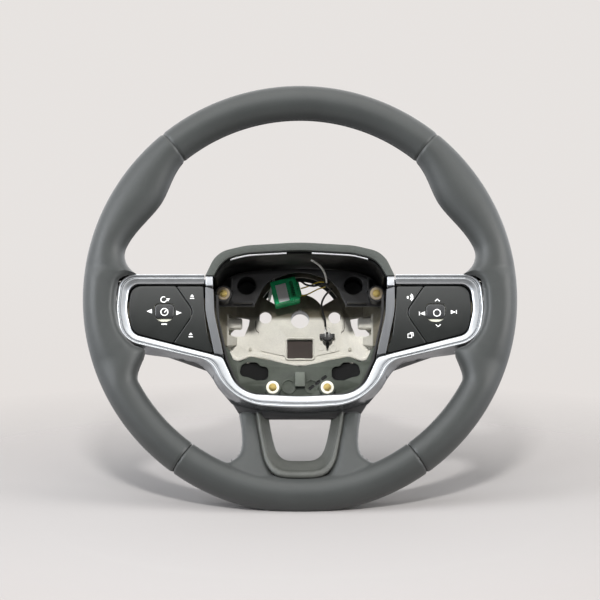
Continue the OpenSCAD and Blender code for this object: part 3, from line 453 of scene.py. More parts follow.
paleFoam = makeMaterial("paleFoam", (0.75, 0.76, 0.79), rough=0.8, grainSize=1800, bump=0.7, depth=0.0005,
                        pores=0.4, variation=0.12, wearAmount=0.4, wearScale=90)
blackPlastic = makeMaterial("blackPlastic", (0.016, 0.0155, 0.0155), rough=0.5, grainSize=1500, bump=0.25,
                            depth=0.0002, variation=0.2, wearAmount=0.08, wearScale=60)
coverPlastic = makeMaterial("coverPlastic", (0.02, 0.0205, 0.021), rough=0.52, grainSize=1300, bump=0.4,
                            depth=0.0003, variation=0.1, pores=0.3, wearAmount=0.12, wearScale=50)
greenGrey = makeMaterial("greenGreyPlastic", (0.034, 0.04, 0.031), rough=0.5, grainSize=700, bump=0.3,
                         depth=0.0003, variation=0.2, wearAmount=0.3, wearScale=110)
brass = makeMaterial("studBrass", (0.4, 0.3, 0.1), rough=0.48, metal=0.6, grainSize=1800, bump=0.15,
                     depth=0.0001, variation=0.15, wearAmount=0.3, wearScale=200)
greenNylon = makeMaterial("greenNylon", (0.015, 0.6, 0.22), rough=0.4, grainSize=900, bump=0.12, depth=0.0002,
                          variation=0.12, pores=0.1, wearAmount=0.08)
wellCream = makeMaterial("wellCream", (0.52, 0.52, 0.44), rough=0.4, grainSize=900, bump=0.05, depth=0.00005,
                         pores=0.1, variation=0.05)
labelWhite = makeMaterial("labelPaper", (0.9, 0.91, 0.9), rough=0.55, grainSize=3000, bump=0.1, depth=0.00005,
                          pores=0.1, variation=0.04, wearAmount=0.1)
contactMetal = makeMaterial("contactMetal", (0.75, 0.75, 0.72), rough=0.25, metal=1.0, grainSize=2000,
                            bump=0.05, depth=0.00005, variation=0.08)
boardGreen = makeMaterial("boardGreen", (0.02, 0.12, 0.05), rough=0.35, grainSize=1200, bump=0.1, coat=0.3)
silicone = makeMaterial("siliconeMat", (0.55, 0.55, 0.5), rough=0.55, grainSize=1500, bump=0.1)
dullZinc = makeMaterial("dullZinc", (0.5, 0.48, 0.42), rough=0.6, metal=0.2, grainSize=1500, bump=0.15,
                        wearAmount=0.2)
linerBlack = makeMaterial("linerBlack", (0.004, 0.004, 0.004), rough=0.42, grainSize=500, bump=0.05,
                          depth=0.0002, variation=0.1, pores=0.0, wearAmount=0.15, specular=0.1)
screwSteel = makeMaterial("screwSteel", (0.45, 0.45, 0.46), rough=0.32, metal=1.0, grainSize=1500, bump=0.1,
                          wearAmount=0.3)
turnedSteel = makeMaterial("turnedSteel", (0.5, 0.5, 0.5), rough=0.3, metal=1.0, grainSize=700, bump=0.3,
                           depth=0.0001, stretch=(1, 9, 1), wearAmount=0.2)
foamDark = makeMaterial("foamDark", (0.02, 0.02, 0.02), rough=0.85, grainSize=900, bump=0.6, depth=0.0006)
keyLacquer = makeMaterial("keyLacquer", (0.012, 0.0132, 0.0125), rough=0.3, grainSize=2400, bump=0.07,
                          depth=0.0001, variation=0.06, pores=0.1, wearAmount=0.08, wearScale=90,
                          roughSpread=0.05)
buttonGloss = makeMaterial("buttonGloss", (0.016, 0.017, 0.018), rough=0.2, grainSize=2400, bump=0.05,
                           depth=0.0001, variation=0.1, pores=0.0, wearAmount=0.1, coat=0.3, coatRough=0.1)
markPaint = makeMaterial("markPaint", (0.85, 0.86, 0.86), rough=0.5, grainSize=2600, bump=0.05, depth=0.00005,
                         pores=0.0, variation=0.03, wearAmount=0.0)
wireWhite = makeMaterial("wireWhite", (0.88, 0.87, 0.82), rough=0.4, grainSize=1500, bump=0.08)
wireYellow = makeMaterial("wireYellow", (0.8, 0.56, 0.05), rough=0.4, grainSize=1500, bump=0.08)
wireBlack = makeMaterial("wireBlack", (0.012, 0.012, 0.012), rough=0.4, grainSize=1500, bump=0.08)
clothTape = makeMaterial("clothTape", (0.015, 0.015, 0.016), rough=0.75, grainSize=2600, bump=0.7,
                         depth=0.0003, sheen=0.2)

# Wires: the cords come first
print("wires")
wires = {
    "whiteWire": {
        "node": "white_wire", "r": 0.9, "material": wireWhite, "far": "object",
        "path": [(10, -110, 35.2), (13.5, -103, 34.6), (17, -96, 33.4), (20, -88, 31.2), (22, -80, 28.4),
                 (23, -72, 25.6), (23.4, -63, 24.4)]},
    "yellowWireUpper": {
        "node": "yellow_wire_upper", "r": 0.6, "material": wireYellow, "far": "object",
        "path": [(0.8, -40.2, 24), (5, -42, 24.8), (10, -44, 26.4), (15, -48, 27.8), (19, -53, 27.4),
                 (22, -60, 25.6)]},
    "yellowWireLower": {
        "node": "yellow_wire_lower", "r": 0.6, "material": wireYellow, "far": "object",
        "path": [(1.2, -38, 18), (6, -40, 18.6), (11, -42, 20.6), (16, -46, 22.4), (20.2, -52, 22.6),
                 (22.9, -60, 22.6)]},
    "blackWireUpper": {
        "node": "black_wire_upper", "r": 0.9, "material": wireBlack, "far": "object",
        "path": [(-2.7, -41.4, 30.8), (1, -44, 29.6), (4.4, -45, 27), (8, -46, 25.6), (13, -47, 25),
                 (18, -52, 25.4), (22, -58, 24.4)]},
    "blackWireLower": {
        "node": "black_wire_lower", "r": 0.9, "material": wireBlack, "far": "object",
        "path": [(27.6, -58, 20), (24.4, -50, 18.6), (21, -42, 15.4), (19, -36, 10.6), (20, -32, 4.6),
                 (22, -30, -1.6), (22.3, -29.8, -5), (22.4, -29.4, -8.4)]},
}


# Catmull-Rom points through a route
def flowing(path, steps=5):
    points = [Vector(point) for point in path]
    line = []
    for i in range(len(points) - 1):
        before = points[max(i - 1, 0)]
        a, b = points[i], points[i + 1]
        after = points[min(i + 2, len(points) - 1)]
        for k in range(steps):
            t = k / steps
            line.append(0.5 * (2 * a + (b - before) * t + (2 * before - 5 * a + 4 * b - after) * t * t
                               + (3 * a - before - 3 * b + after) * t ** 3))
    return line + [points[-1]]


def tube(line, radii, sides=12):
    turns = [2 * pi * k / sides for k in range(sides)]
    rings = []
    for i, here in enumerate(line):
        along = (line[min(i + 1, len(line) - 1)] - line[max(i - 1, 0)]).normalized()
        side = along.cross(Vector((0.31, 0.17, 0.93))).normalized()
        up = side.cross(along)
        r = radii[i] if isinstance(radii, list) else radii
        rings.append([here + r * (cos(a) * side + sin(a) * up) for a in turns])
    return lofted(rings, roundRing=True, caps=True)


for name, wire in wires.items():
    line = flowing(wire["path"])
    piece = tube(line, wire["r"])
    smooth(piece, 50)
    finish(piece, name, wire["material"], replaced=[wire["node"]])

# Cloth tape where the wires meet
tapeLine = flowing([(22.6, -55.5, 24.4), (23, -60, 24.1), (23.6, -65, 24.6)], 6)
tape = tube(tapeLine, [2.2 + 0.25 * sin(i * 1.3) for i in range(len(tapeLine))], 20)
smooth(tape, 60)
finish(tape, "wireTape", clothTape)

# Leather rim
print("leather")
rim = {"outer": 185.0, "width": 30.0, "depth": 34.0, "bump": 11.0, "leather": 1.2, "seamTop": 39.8,
       "seamLow": 144.4, "seamGroove": 0.85, "seamWidth": 1.1, "jointGroove": 0.7, "jointWidth": 4.0,
       "armTop": 19.2, "root": 23.0, "gap": 0.06, "mean": 165.0, "sides": 56, "bumpFrom": 38, "bumpTop": 56,
       "bumpRise": 18, "bumpFall": 21, "seamSteps": (0.4, 0.9, 1.5, 2.2), "skin": 0.8}
innerR = rim["outer"] - rim["width"]
endX = innerR + 1.1
spokeEnd = [(82, endX - 16), (83.4, endX - 8), (85.4, endX - 2.6), (88, endX - 0.6), (94, endX + 0.7),
            (99, endX - 0.2), (102, endX - 2.2), (105, endX - 6.2), (107.2, endX - 11), (109, endX - 17)]


def plainInner(t):
    rise = ease((t - rim["bumpFrom"]) / rim["bumpRise"])
    fall = ease((t - rim["bumpTop"]) / rim["bumpFall"])
    return innerR - rim["bump"] * (rise if t < rim["bumpTop"] else 1 - fall)


def rootFillet(t):
    h = innerR * cos(radians(t)) - rim["armTop"] - 1
    root = rim["root"]
    return 0 if h > root else root - sqrt(root * root - (root - max(h, 0)) ** 2)


def looked(t, table):
    for (a, va), (b, vb) in zip(table, table[1:]):
        if t <= b:
            return va + (vb - va) * (t - a) / (b - a)
    return table[-1][1]


def rimInner(t):
    if t < spokeEnd[0][0]:
        return plainInner(t) - rootFillet(t)
    if t < spokeEnd[-1][0]:
        return looked(t, spokeEnd)
    lastTurn, lastR = spokeEnd[-1]
    return innerR - (innerR - lastR) * (1 - ease((t - lastTurn) / spoke["back"]))


# Between these turns the spoke trim meets the rim
spoke = {"first": 81, "rise": 4, "last": 110, "fall": 5, "back": 9, "squareness": 0.35}


def spokePart(t):
    return ease((t - spoke["first"]) / spoke["rise"]) * ease((spoke["last"] - t) / spoke["fall"])


# A point of the rim's section: q turns about the grip from the outside, off is the depth below the leather
def rimPoint(t, q, off):
    turnT = abs(t)
    inner = rimInner(turnT) + off
    outer = rim["outer"] - off
    c = cos(radians(q))
    side = -((-c) ** mixed(1, spoke["squareness"], spokePart(turnT))) if c < 0 else c
    radius = (outer + inner) / 2 + (outer - inner) / 2 * side
    return (radius * sin(radians(t)), rimY - (rim["depth"] / 2 - off) * sin(radians(q)),
            radius * cos(radians(t)))


# Depth of the grooves: at the seams between two pieces, and at the sewn joint on the inside
def seamDip(t, q, first, last):
    toEdge = min(abs(t - first), abs(t - last)) * pi / 180 * rim["mean"]
    dip = rim["seamGroove"] * exp(-(toEdge / rim["seamWidth"]) ** 2)
    fromJoint = min(abs(q - 180), abs(q + 180))
    return dip + rim["jointGroove"] * exp(-(fromJoint / rim["jointWidth"]) ** 2) * (1 - spokePart(abs(t)))


def slitAt(t, wide):
    return mixed(slit["closed"], wide, spokePart(abs(t)))


# The leather's front lip runs on as far as the bezel where the spokes are
slit = {"closed": 0.5, "front": 42, "lip": 14, "rear": 84, "lipFirst": 85, "lipLast": 106, "lipFade": 3}


def frontSlit(t):
    after, before = abs(t) - slit["lipFirst"], slit["lipLast"] - abs(t)
    lip = ease(after / slit["lipFade"]) * ease(before / slit["lipFade"])
    return mixed(slit["front"], slit["lip"], lip)


def leatherRings(first, last):
    count = int(last - first)
    angles = [first + (last - first) * i / count for i in range(count + 1)]
    edge = 180 / pi / rim["mean"]
    close = [d * edge for d in rim["seamSteps"]]
    angles = sorted(set(angles + [first + d for d in close] + [last - d for d in close]))
    rings = []
    for t in angles:
        turns = [mixed(-180 + slitAt(t, slit["rear"]), 180 - slitAt(t, frontSlit(t)),
                       i / rim["sides"]) for i in range(rim["sides"] + 1)]
        rings.append([rimPoint(t, q, seamDip(t, q, first, last)) for q in turns])
    return rings


def walled(piece, thickness):
    addModifier(piece, "SOLIDIFY", thickness=thickness * mm, offset=-1, use_even_offset=True)


def leatherPiece(name, first, last, cadNode):
    piece = lofted(leatherRings(first, last))
    walled(piece, rim["leather"] * rim["skin"])
    smooth(piece, 55)
    return finish(piece, name, leather, replaced=[cadNode])


leatherPiece("leatherTop", -rim["seamTop"] + rim["gap"], rim["seamTop"] - rim["gap"], "leather_top")
leatherPiece("leatherRight", rim["seamTop"] + rim["gap"], rim["seamLow"] - rim["gap"], "leather_right")
leatherPiece("leatherLeft", -rim["seamLow"] + rim["gap"], -rim["seamTop"] - rim["gap"], "leather_left")

# The bottom piece runs on into both lower legs: one hide, melted together and evened out
# each slice: height, outer and inner x, front and rear y
legSides = 40
legSquareness = 0.62
legSlices = [
    (-96.7, 52.4, 37.7, -113, -84.2), (-100, 51.6, 37, -115, -87.4), (-105, 50.8, 36.4, -117, -92),
    (-110, 50, 35.4, -119.4, -96), (-115, 49.6, 34.7, -121.5, -100), (-121, 49.2, 33.6, -124.4, -103.2),
    (-127, 49.4, 32.7, -127, -106), (-132, 50.4, 31.9, -129, -107.6), (-136, 52.4, 31.1, -130.6, -109),
    (-139, 55.6, 29.9, -131.8, -109.8), (-141.6, 60, 29, -132.8, -110.3), (-145, 65.6, 27.5, -134, -111),
    (-151, 72, 24.2, -136, -112), (-156, 76, 19.6, -137, -112.6), (-162, 78, 14.6, -137, -113),
]


def legRing(row):
    z, outer, inner, front, rear = row
    cx, cy, w, h = (outer + inner) / 2, (front + rear) / 2, (outer - inner) / 2, (rear - front) / 2
    ring = []
    for i in range(legSides):
        a = 2 * pi * i / legSides
        c, s = cos(a), sin(a)
        x = cx + w * abs(c) ** legSquareness * (1 if c > 0 else -1)
        y = cy + h * abs(s) ** legSquareness * (1 if s > 0 else -1)
        ring.append((x, y, z))
    return ring


melt = {"turns": 72, "sides": 60, "voxel": 1.15, "factor": 0.6, "times": 14, "least": 0.15, "grip": 170,
        "seamReach": 3, "seamFrom": 90}
# where the roots are: between two radii and two widths, each with the width of its fade
roots = {"outerR": 162, "outerFade": 6, "innerR": 131, "innerFade": 8, "middle": 14, "middleFade": 6,
         "side": 82, "sideFade": 8}


def rootShare(x, z):
    r = sqrt(x * x + z * z)
    fromRim = clamp((roots["outerR"] - r) / roots["outerFade"])
    fromHub = clamp((r - roots["innerR"]) / roots["innerFade"])
    fromMiddle = clamp((abs(x) - roots["middle"]) / roots["middleFade"])
    return fromRim * fromHub * fromMiddle * clamp((roots["side"] - abs(x)) / roots["sideFade"])


def bottomLeather():
    first, last = rim["seamLow"] + rim["gap"], 360 - rim["seamLow"] - rim["gap"]
    turns = [first + (last - first) * i / melt["turns"] for i in range(melt["turns"] + 1)]
    body = lofted([[rimPoint(t, q * 360 / melt["sides"], 0) for q in range(melt["sides"])] for t in turns],
                  roundRing=True, caps=True)
    legs = []
    for side in (1, -1):
        rings = [[(side * x, y, z) for x, y, z in legRing(row)] for row in legSlices]
        legs.append(lofted(rings, roundRing=True, caps=True))
    piece = joined("leatherBottom", [body] + legs)
    outwards(piece)
    addModifier(piece, "REMESH", mode="VOXEL", voxel_size=melt["voxel"] * mm, adaptivity=0)
    # only the roots of the legs are evened, so that the round rim and the cut ends keep their form
    group = piece.vertex_groups.new(name="roots")
    for vertex in piece.data.vertices:
        near = rootShare(vertex.co.x / mm, vertex.co.z / mm)
        group.add([vertex.index], mixed(melt["least"], 1, near), "REPLACE")
    addModifier(piece, "SMOOTH", factor=melt["factor"], iterations=melt["times"], vertex_group="roots")
    for vertex in piece.data.vertices:
        x, y, z = vertex.co / mm
        t = degrees(atan2(x, z)) % 360
        toEdge = min(abs(t - first), abs(t - last)) * pi / 180 * rim["mean"]
        if toEdge < melt["seamReach"] and abs(x) > melt["seamFrom"]:
            dip = rim["seamGroove"] * exp(-(toEdge / rim["seamWidth"]) ** 2)
            centre = Vector((melt["grip"] * sin(radians(t)), rimY, melt["grip"] * cos(radians(t))))
            away = Vector((x, y, z)) - centre
            vertex.co = (centre + away * (1 - dip / max(away.length, 1))) * mm
    smooth(piece, 60)
    return finish(piece, "leatherBottom", leather, replaced=["leather_bottom"])


bottomLeather()

# Stitches: short slanted threads that lace the joint on the inside of the rim
stitch = {"pitch": 3.7, "length": 4.6, "radius": 0.42, "slant": 26, "proud": 0.12, "bend": 0.3, "tip": 0.45,
          "taper": 0.55, "dive": 0.5, "sunk": 0.55, "spokeLimit": 0.02, "legTop": -99.5, "legLow": -146,
          "legSunk": 0.5, "legBehind": 3, "legRearward": 0.6}


def oneStitch():
    leaveAll()
    bpy.ops.mesh.primitive_cylinder_add(vertices=6, radius=stitch["radius"] * mm, depth=stitch["length"] * mm)
    piece = bpy.context.object
    editStart(piece, "EDGE")
    selectAll()
    bpy.ops.mesh.bisect(plane_co=(0, 0, stitch["bend"] * stitch["length"] * mm), plane_no=(0, 0, 1))
    selectAll()
    bpy.ops.mesh.bisect(plane_co=(0, 0, -stitch["bend"] * stitch["length"] * mm), plane_no=(0, 0, 1))
    editEnd()
    for vertex in piece.data.vertices:
        if abs(vertex.co.z) > stitch["tip"] * stitch["length"] * mm:
            vertex.co.x *= stitch["taper"]
            vertex.co.y = vertex.co.y * stitch["taper"] - stitch["dive"] * mm
    smooth(piece, 60)
    return piece


# Copies the stitch along places given as (centre, outward, along) in mm
def sewn(name, places):
    first = oneStitch()
    copies = []
    for number, (centre, outward, along) in enumerate(places):
        copy = first.copy()
        copy.data = first.data.copy()
        bpy.context.scene.collection.objects.link(copy)
        across = outward.cross(along).normalized()
        lean = radians(stitch["slant"] * (1 if number % 2 else -1))
        z = (across * cos(lean) + along * sin(lean)).normalized()
        y = outward.normalized()
        x = y.cross(z).normalized()
        turn = Matrix((x, y, z)).transposed().to_4x4()
        turn.translation = (centre + outward * stitch["proud"]) * mm
        copy.data.transform(turn)
        copies.append(copy)
    bpy.data.objects.remove(first, do_unlink=True)
    piece = joined(name, copies)
    return finish(piece, name, thread)


def rimStitches(first, last):
    places = []
    t = first
    while t < last:
        if spokePart(abs(t) if t < 180 else 360 - t) < stitch["spokeLimit"]:
            fold = t if t <= 180 else t - 360
            here = Vector(rimPoint(fold, 180, stitch["sunk"]))
            nextOne = Vector(rimPoint(fold + 0.5, 180, stitch["sunk"]))
            along = (nextOne - here).normalized()
            outward = along.cross(Vector((0, 1, 0))).normalized()
            if outward.dot(-here) < 0:
                outward = -outward
            places.append((here, outward, along))
        t += degrees(stitch["pitch"] / rimInner(abs(t) if t <= 180 else 360 - t))
    return places


sewn("stitchesTop", rimStitches(-rim["seamTop"] + 1, rim["seamTop"] - 1))
sewn("stitchesRight", rimStitches(rim["seamTop"] + 1, rim["seamLow"] - 1))
sewn("stitchesLeft", rimStitches(-rim["seamLow"] + 1, -rim["seamTop"] - 1))


def legStitches(side):
    places = []
    rows = [(-row[0], row[1]) for row in legSlices[:12]]
    z = stitch["legTop"]
    while z > stitch["legLow"]:
        outer = looked(-z, rows)
        front = looked(-z, [(-row[0], row[3]) for row in legSlices])
        rear = looked(-z, [(-row[0], row[4]) for row in legSlices])
        line = (front + rear) / 2 - stitch["legBehind"]
        outerNext = looked(-z + 1, rows)
        here = Vector((side * (outer - stitch["legSunk"]), line, z))
        ahead = Vector((side * (outerNext - stitch["legSunk"]), line - stitch["legRearward"], z - 1))
        places.append((here, Vector((side, 0, 0)), (ahead - here).normalized()))
        z -= stitch["pitch"]
    return places


sewn("stitchesLegRight", legStitches(1))
sewn("stitchesLegLeft", legStitches(-1))

# Polyline helpers for the trim and the switch packs
def evenly(points, pitch):
    points = [Vector(point[:2]) for point in points]
    closed = points + [points[0]]
    total = sum((b - a).length for a, b in zip(closed, closed[1:]))
    count = max(8, round(total / pitch))
    line, walked, i = [], 0.0, 0
    for k in range(count):
        target = total * k / count
        while walked + (closed[i + 1] - closed[i]).length < target:
            walked += (closed[i + 1] - closed[i]).length
            i += 1
        step = (closed[i + 1] - closed[i]).length
        line.append(closed[i].lerp(closed[i + 1], (target - walked) / step if step else 0))
    return line


def relaxed(line, times):
    for _ in range(times):
        line = [(line[i - 1] + 2 * line[i] + line[(i + 1) % len(line)]) / 4 for i in range(len(line))]
    return line


def area(line):
    return sum(line[i - 1][0] * line[i][1] - line[i][0] * line[i - 1][1] for i in range(len(line))) / 2


# Moves a closed line inwards along its own normals
def inset(line, by):
    sign = 1 if area(line) > 0 else -1
    result = []
    for i, here in enumerate(line):
        along = (Vector(line[(i + 1) % len(line)]) - Vector(line[i - 1])).normalized()
        result.append(Vector(here) + by * sign * Vector((-along.y, along.x)))
    return result


def inside(line, point):
    hit = False
    for a, b in zip(line, line[1:] + line[:1]):
        if (a[1] > point[1]) != (b[1] > point[1]):
            if point[0] < (b[0] - a[0]) * (point[1] - a[1]) / (b[1] - a[1]) + a[0]:
                hit = not hit
    return hit


# Bezel
print("bezel")
bezel = {"steps": 14, "stretch": 6, "armEnd": -30, "flare": 0.4, "lowFlare": 4, "hubFlare": -2.2,
         "hubFrom": -84, "armRear": 8, "crestSide": 1.1, "shell": 2, "lining": 5, "lipIn": 1.2, "lipRear": 11,
         "lowFade": 14, "hubFade": 10, "armFade": 20, "flareSteps": (0.25, 0.6, 1.0), "flarePower": 1.6}
crestLeft = [(-81.6, 19.2, 0), (-153.8, 19.2, 14), (-156.8, -10, 50), (-153.2, -38, 24), (-76.6, -55.6, 22),
             (-58.2, -92.4, 52)]
innerLeft = [(-81.6, 11, 0), (-145, 11, 9), (-147.6, -11, 40), (-142.4, -32.2, 11), (-65.6, -52, 6),
             (-51.5, -83.2, 28)]
crestPath = rounded(crestLeft + [(0, -96.6, 330)] + flipped(crestLeft), bezel["steps"], openEnds=True)
innerPath = rounded(innerLeft + [(0, -85.8, 220)] + flipped(innerLeft), bezel["steps"], openEnds=True)
# across the strip: share of its width from the inner edge, and depth behind the crest
bezelFace = [(0, bezel["lipRear"]), (0, 3.0), (0.012, 2.7), (0.05, 2.25), (0.12, 1.85), (0.22, 1.5),
             (0.34, 1.22), (0.46, 1.02), (0.55, 0.92), (0.59, 0.96), (0.615, 1.15), (0.632, 1.5),
             (0.655, 1.85), (0.695, 1.95), (0.735, 1.85), (0.76, 1.3), (0.78, 0.7), (0.805, 0.25),
             (0.85, 0.04), (0.9, 0), (0.95, 0.06), (0.98, 0.28), (0.995, 0.6), (1, 1.1)]


def bezelRings():
    # long straight stretches get middle points, so that the strip bends and shades evenly
    pairs = []
    for i in range(len(crestPath) - 1):
        a, b = Vector(crestPath[i]), Vector(crestPath[i + 1])
        c, d = Vector(innerPath[i]), Vector(innerPath[i + 1])
        parts = max(1, int((b - a).length / bezel["stretch"]))
        pairs += [(a.lerp(b, k / parts), c.lerp(d, k / parts)) for k in range(parts)]
    pairs.append((Vector(crestPath[-1]), Vector(innerPath[-1])))
    rings = []
    for crest, inner in pairs:
        across = crest - inner
        out = across.normalized()
        below = bezel["armEnd"] - crest.y
        flare = bezel["flare"]
        if below >= 0:
            flare += bezel["lowFlare"] * ease(below / bezel["lowFade"])
            flare += bezel["hubFlare"] * ease((bezel["hubFrom"] - crest.y) / bezel["hubFade"])
        rear = backY - bezel["armRear"] * ease(-below / bezel["armFade"])
        ring = []
        for share, depth in bezelFace:
            at = inner + across * share
            ring.append((at.x, crestY + depth, at.y))
        for share in bezel["flareSteps"]:
            at = crest + out * flare * share ** bezel["flarePower"]
            ring.append((at.x, mixed(crestY + bezel["crestSide"], rear, share), at.y))
        at = crest + out * (flare - bezel["shell"])
        ring.append((at.x, rear, at.y))
        for at in (crest - out * bezel["shell"], inner + out * bezel["shell"]):
            ring.append((at.x, crestY + bezel["lining"], at.y))
        at = inner + out * bezel["lipIn"]
        ring.append((at.x, crestY + bezel["lipRear"], at.y))
        rings.append(ring)
    return rings


bezelPiece = lofted(bezelRings(), roundRing=True, caps=True)
softened(bezelPiece, 0.18, 2, 60)
smooth(bezelPiece, 38)
finish(bezelPiece, "bezelStrip", satin, replaced=["bezel"])

for side in ("left", "right"):
    cap = copyOf(side + "_trim_cap", 0.6, 3)
    finish(cap, side + "TrimCapPiece", capSatin, replaced=[side + "_trim_cap"])
    trim = copyOf(side + "_side_trim", 0.5, 2)
    finish(trim, side + "SideTrimPiece", greyTrim, replaced=[side + "_side_trim"])

# Switch packs, drawn on the left and mirrored for the right
print("switch packs")
packCorners = [(-143.7, 9.5, 9), (-146.1, -11, 40), (-142.3, -30.8, 10), (-73, -48.6, 1.2), (-78.6, -34, 60),
               (-81.4, -10, 80), (-82.2, 9.5, 0.8)]
splitCorners = [(-108.4, 13, 0), (-90.2, -13.8, 9), (-110, -43, 0), (-180, -43, 0), (-180, 13, 0)]
pack = {"padX": -115.3, "padZ": -12.7, "keysMid": -84.6, "keysZ": -14, "edge": 0.8, "keysEdge": 0.7,
        "splitGap": 0.6, "pitch": 0.55, "outline": 0.35, "thick": 2.5, "hidden": 2.45, "outerEdge": -146.1,
        "bow": 0.012, "bowAt": -11, "border": 6.5, "borderDrop": 0.5, "crown": 1.7, "crownWide": 60,
        "crownHigh": 24, "keysCrown": 1.55, "keysCrownAt": -19.5}
button = {"width": 16.4, "height": 12.8, "corner": 3.4, "edge": 0.9, "proud": 0.1, "dish": 0.35, "gap": 0.3,
          "wellBelow": 2.6, "wellSide": 0.45, "wellAbove": 0.35, "wellFrom": 0.35, "wellDepth": 1.7,
          "wellBack": 2.3, "wellLow": 7.6, "wellHigh": 3.6, "crown": 0.25, "dishWide": 8, "dishHigh": 6.4}
wellBed = {"slack": 0.02, "pitch": 0.8, "around": 0.5, "steps": (0, 0.15, 0.4, 0.7, 1.0), "power": 0.8}
packLine = evenly(rounded(packCorners, 12), pack["outline"])
splitLine = evenly(rounded(splitCorners, 12), pack["outline"])
splitGrown = inset(splitLine, -pack["splitGap"])


def padOutline():
    line = [point for point in packLine if inside(splitLine, point)]
    nose = [point for point in splitLine if inside(packLine, point)]
    return woven(line, nose)


def keysOutline():
    line = [point for point in packLine if not inside(splitGrown, point)]
    nose = [point for point in splitGrown if inside(packLine, point)]
    return woven(line, nose)


# Joins two open runs of points into one closed line, each kept in its own order
def woven(a, b):
    def opened(run):
        jumps = [(run[i] - run[i - 1]).length for i in range(len(run))]
        first = jumps.index(max(jumps))
        return run[first:] + run[:first]
    a, b = opened(a), opened(b)
    if (a[-1] - b[0]).length > (a[-1] - b[-1]).length:
        b = b[::-1]
    return relaxed(evenly(relaxed(evenly(a + b, pack["pitch"]), 2), pack["pitch"]), 2)


# A cap over an outline: closed rear, rounded front edge and a crowned face drawn in to its centre
def capOver(line, centre, front, edge, level, rings):
    back = padY + pack["thick"]
    shape = [(0, back), (0, front + edge)]
    for k in range(1, 5):
        a = pi / 2 * k / 4
        shape.append((edge * (1 - cos(a)), front + edge * (1 - sin(a))))
    loops = []
    for by, y in shape:
        loops.append([(p[0], y + (level(p[0], p[1]) if y < back else 0), p[1]) for p in inset(line, by)])
    base = inset(line, edge)
    centre = Vector(centre)
    for k in range(1, rings + 1):
        share = 1 - k / rings
        loop = [centre + (p - centre) * share for p in base]
        loops.append([(p.x, front + level(p.x, p.y), p.y) for p in loop])
    piece = lofted(loops, roundRing=True)
    editStart(piece, "EDGE")
    bpy.ops.mesh.select_non_manifold()
    bpy.ops.mesh.edge_face_add()
    faceOut()
    editEnd()
    return piece


# The outer border of the pad falls away towards the bezel
def borderSlope(x, z):
    left = pack["outerEdge"] + pack["border"] + pack["bow"] * (z - pack["bowAt"]) ** 2
    drop = pack["borderDrop"] * clamp((left - x) / pack["border"])
    across, up = (x - pack["padX"]) / pack["crownWide"], (z - pack["padZ"]) / pack["crownHigh"]
    return drop + pack["crown"] * (across ** 2 + up ** 2)


def keysSlope(x, z):
    return pack["keysCrown"] * ((z - pack["keysCrownAt"]) / pack["crownHigh"]) ** 2


# The well that the button stands in runs on a little below the button
def wellLine(slack=0.0):
    low = button["height"] / 2 + button["wellBelow"]
    high = button["height"] / 2 + button["wellAbove"] - slack
    half = button["width"] / 2 + button["wellSide"] - slack
    return rounded([(-half, -low, button["wellLow"]), (half, -low, button["wellLow"]),
                    (half, high, button["wellHigh"]), (-half, high, button["wellHigh"])], 8)


def padPiece():
    piece = capOver(padOutline(), (pack["padX"] - 2, pack["padZ"]), padY, pack["edge"], borderSlope, 22)
    cut(piece, raised([(x + pack["padX"], z + pack["padZ"]) for x, z in wellLine()], padY - 4, padY + 5))
    return softened(piece, 0.35, 2, 40)


def wellFloor():
    line = evenly(wellLine(wellBed["slack"]), wellBed["pitch"])
    around = wellBed["around"]
    hole = evenly(boxLine(button["width"] + around, button["height"] + around, button["wellHigh"]),
                  wellBed["pitch"])
    rings = []
    inner = [min(hole, key=lambda p: abs(atan2(p.y, p.x) - atan2(q.y, q.x))) for q in line]
    for share in wellBed["steps"]:
        ring = []
        for q, p in zip(line, inner):
            at = q.lerp(p, share)
            deep = button["wellFrom"] + button["wellDepth"] * share ** wellBed["power"]
            ring.append((at.x + pack["padX"], padY + deep, at.y + pack["padZ"]))
        rings.append(ring)
    rings.append([(x, padY + button["wellBack"], z) for x, _, z in rings[-1]])
    rings.append([(x, padY + button["wellBack"], z) for x, _, z in rings[0]])
    return lofted(rings, roundRing=True, roundLoop=True)


def buttonSlope(x, z):
    across, up = (x - pack["padX"]) / button["dishWide"], (z - pack["padZ"]) / button["dishHigh"]
    return button["crown"] - button["dish"] * (1 - across ** 2) * (1 - up ** 2)


def buttonPiece():
    line = evenly(boxLine(button["width"] - button["gap"], button["height"] - button["gap"], button["corner"],
                          pack["padX"], pack["padZ"], 8), 0.6)
    return capOver(line, (pack["padX"], pack["padZ"]), padY - button["proud"], button["edge"], buttonSlope, 8)


def keysPiece():
    return capOver(keysOutline(), (pack["keysMid"], pack["keysZ"]), padY, pack["keysEdge"], keysSlope, 22)


# The hidden part of a moving piece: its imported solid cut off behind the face
def hiddenPart(nodeName, level):
    piece = copyOf(nodeName, 0)
    editStart(piece)
    selectAll()
    bpy.ops.mesh.bisect(plane_co=(0, level * mm, 0), plane_no=(0, 1, 0), use_fill=True, clear_inner=True)
    editEnd()
    return piece


def mirrored(piece):
    take(piece)
    bpy.ops.transform.resize(value=(-1, 1, 1), center_override=(0, 0, 0))
    bpy.ops.object.transform_apply(location=True, rotation=True, scale=True)
    editStart(piece)
    faceOut()
    editEnd()
    return piece


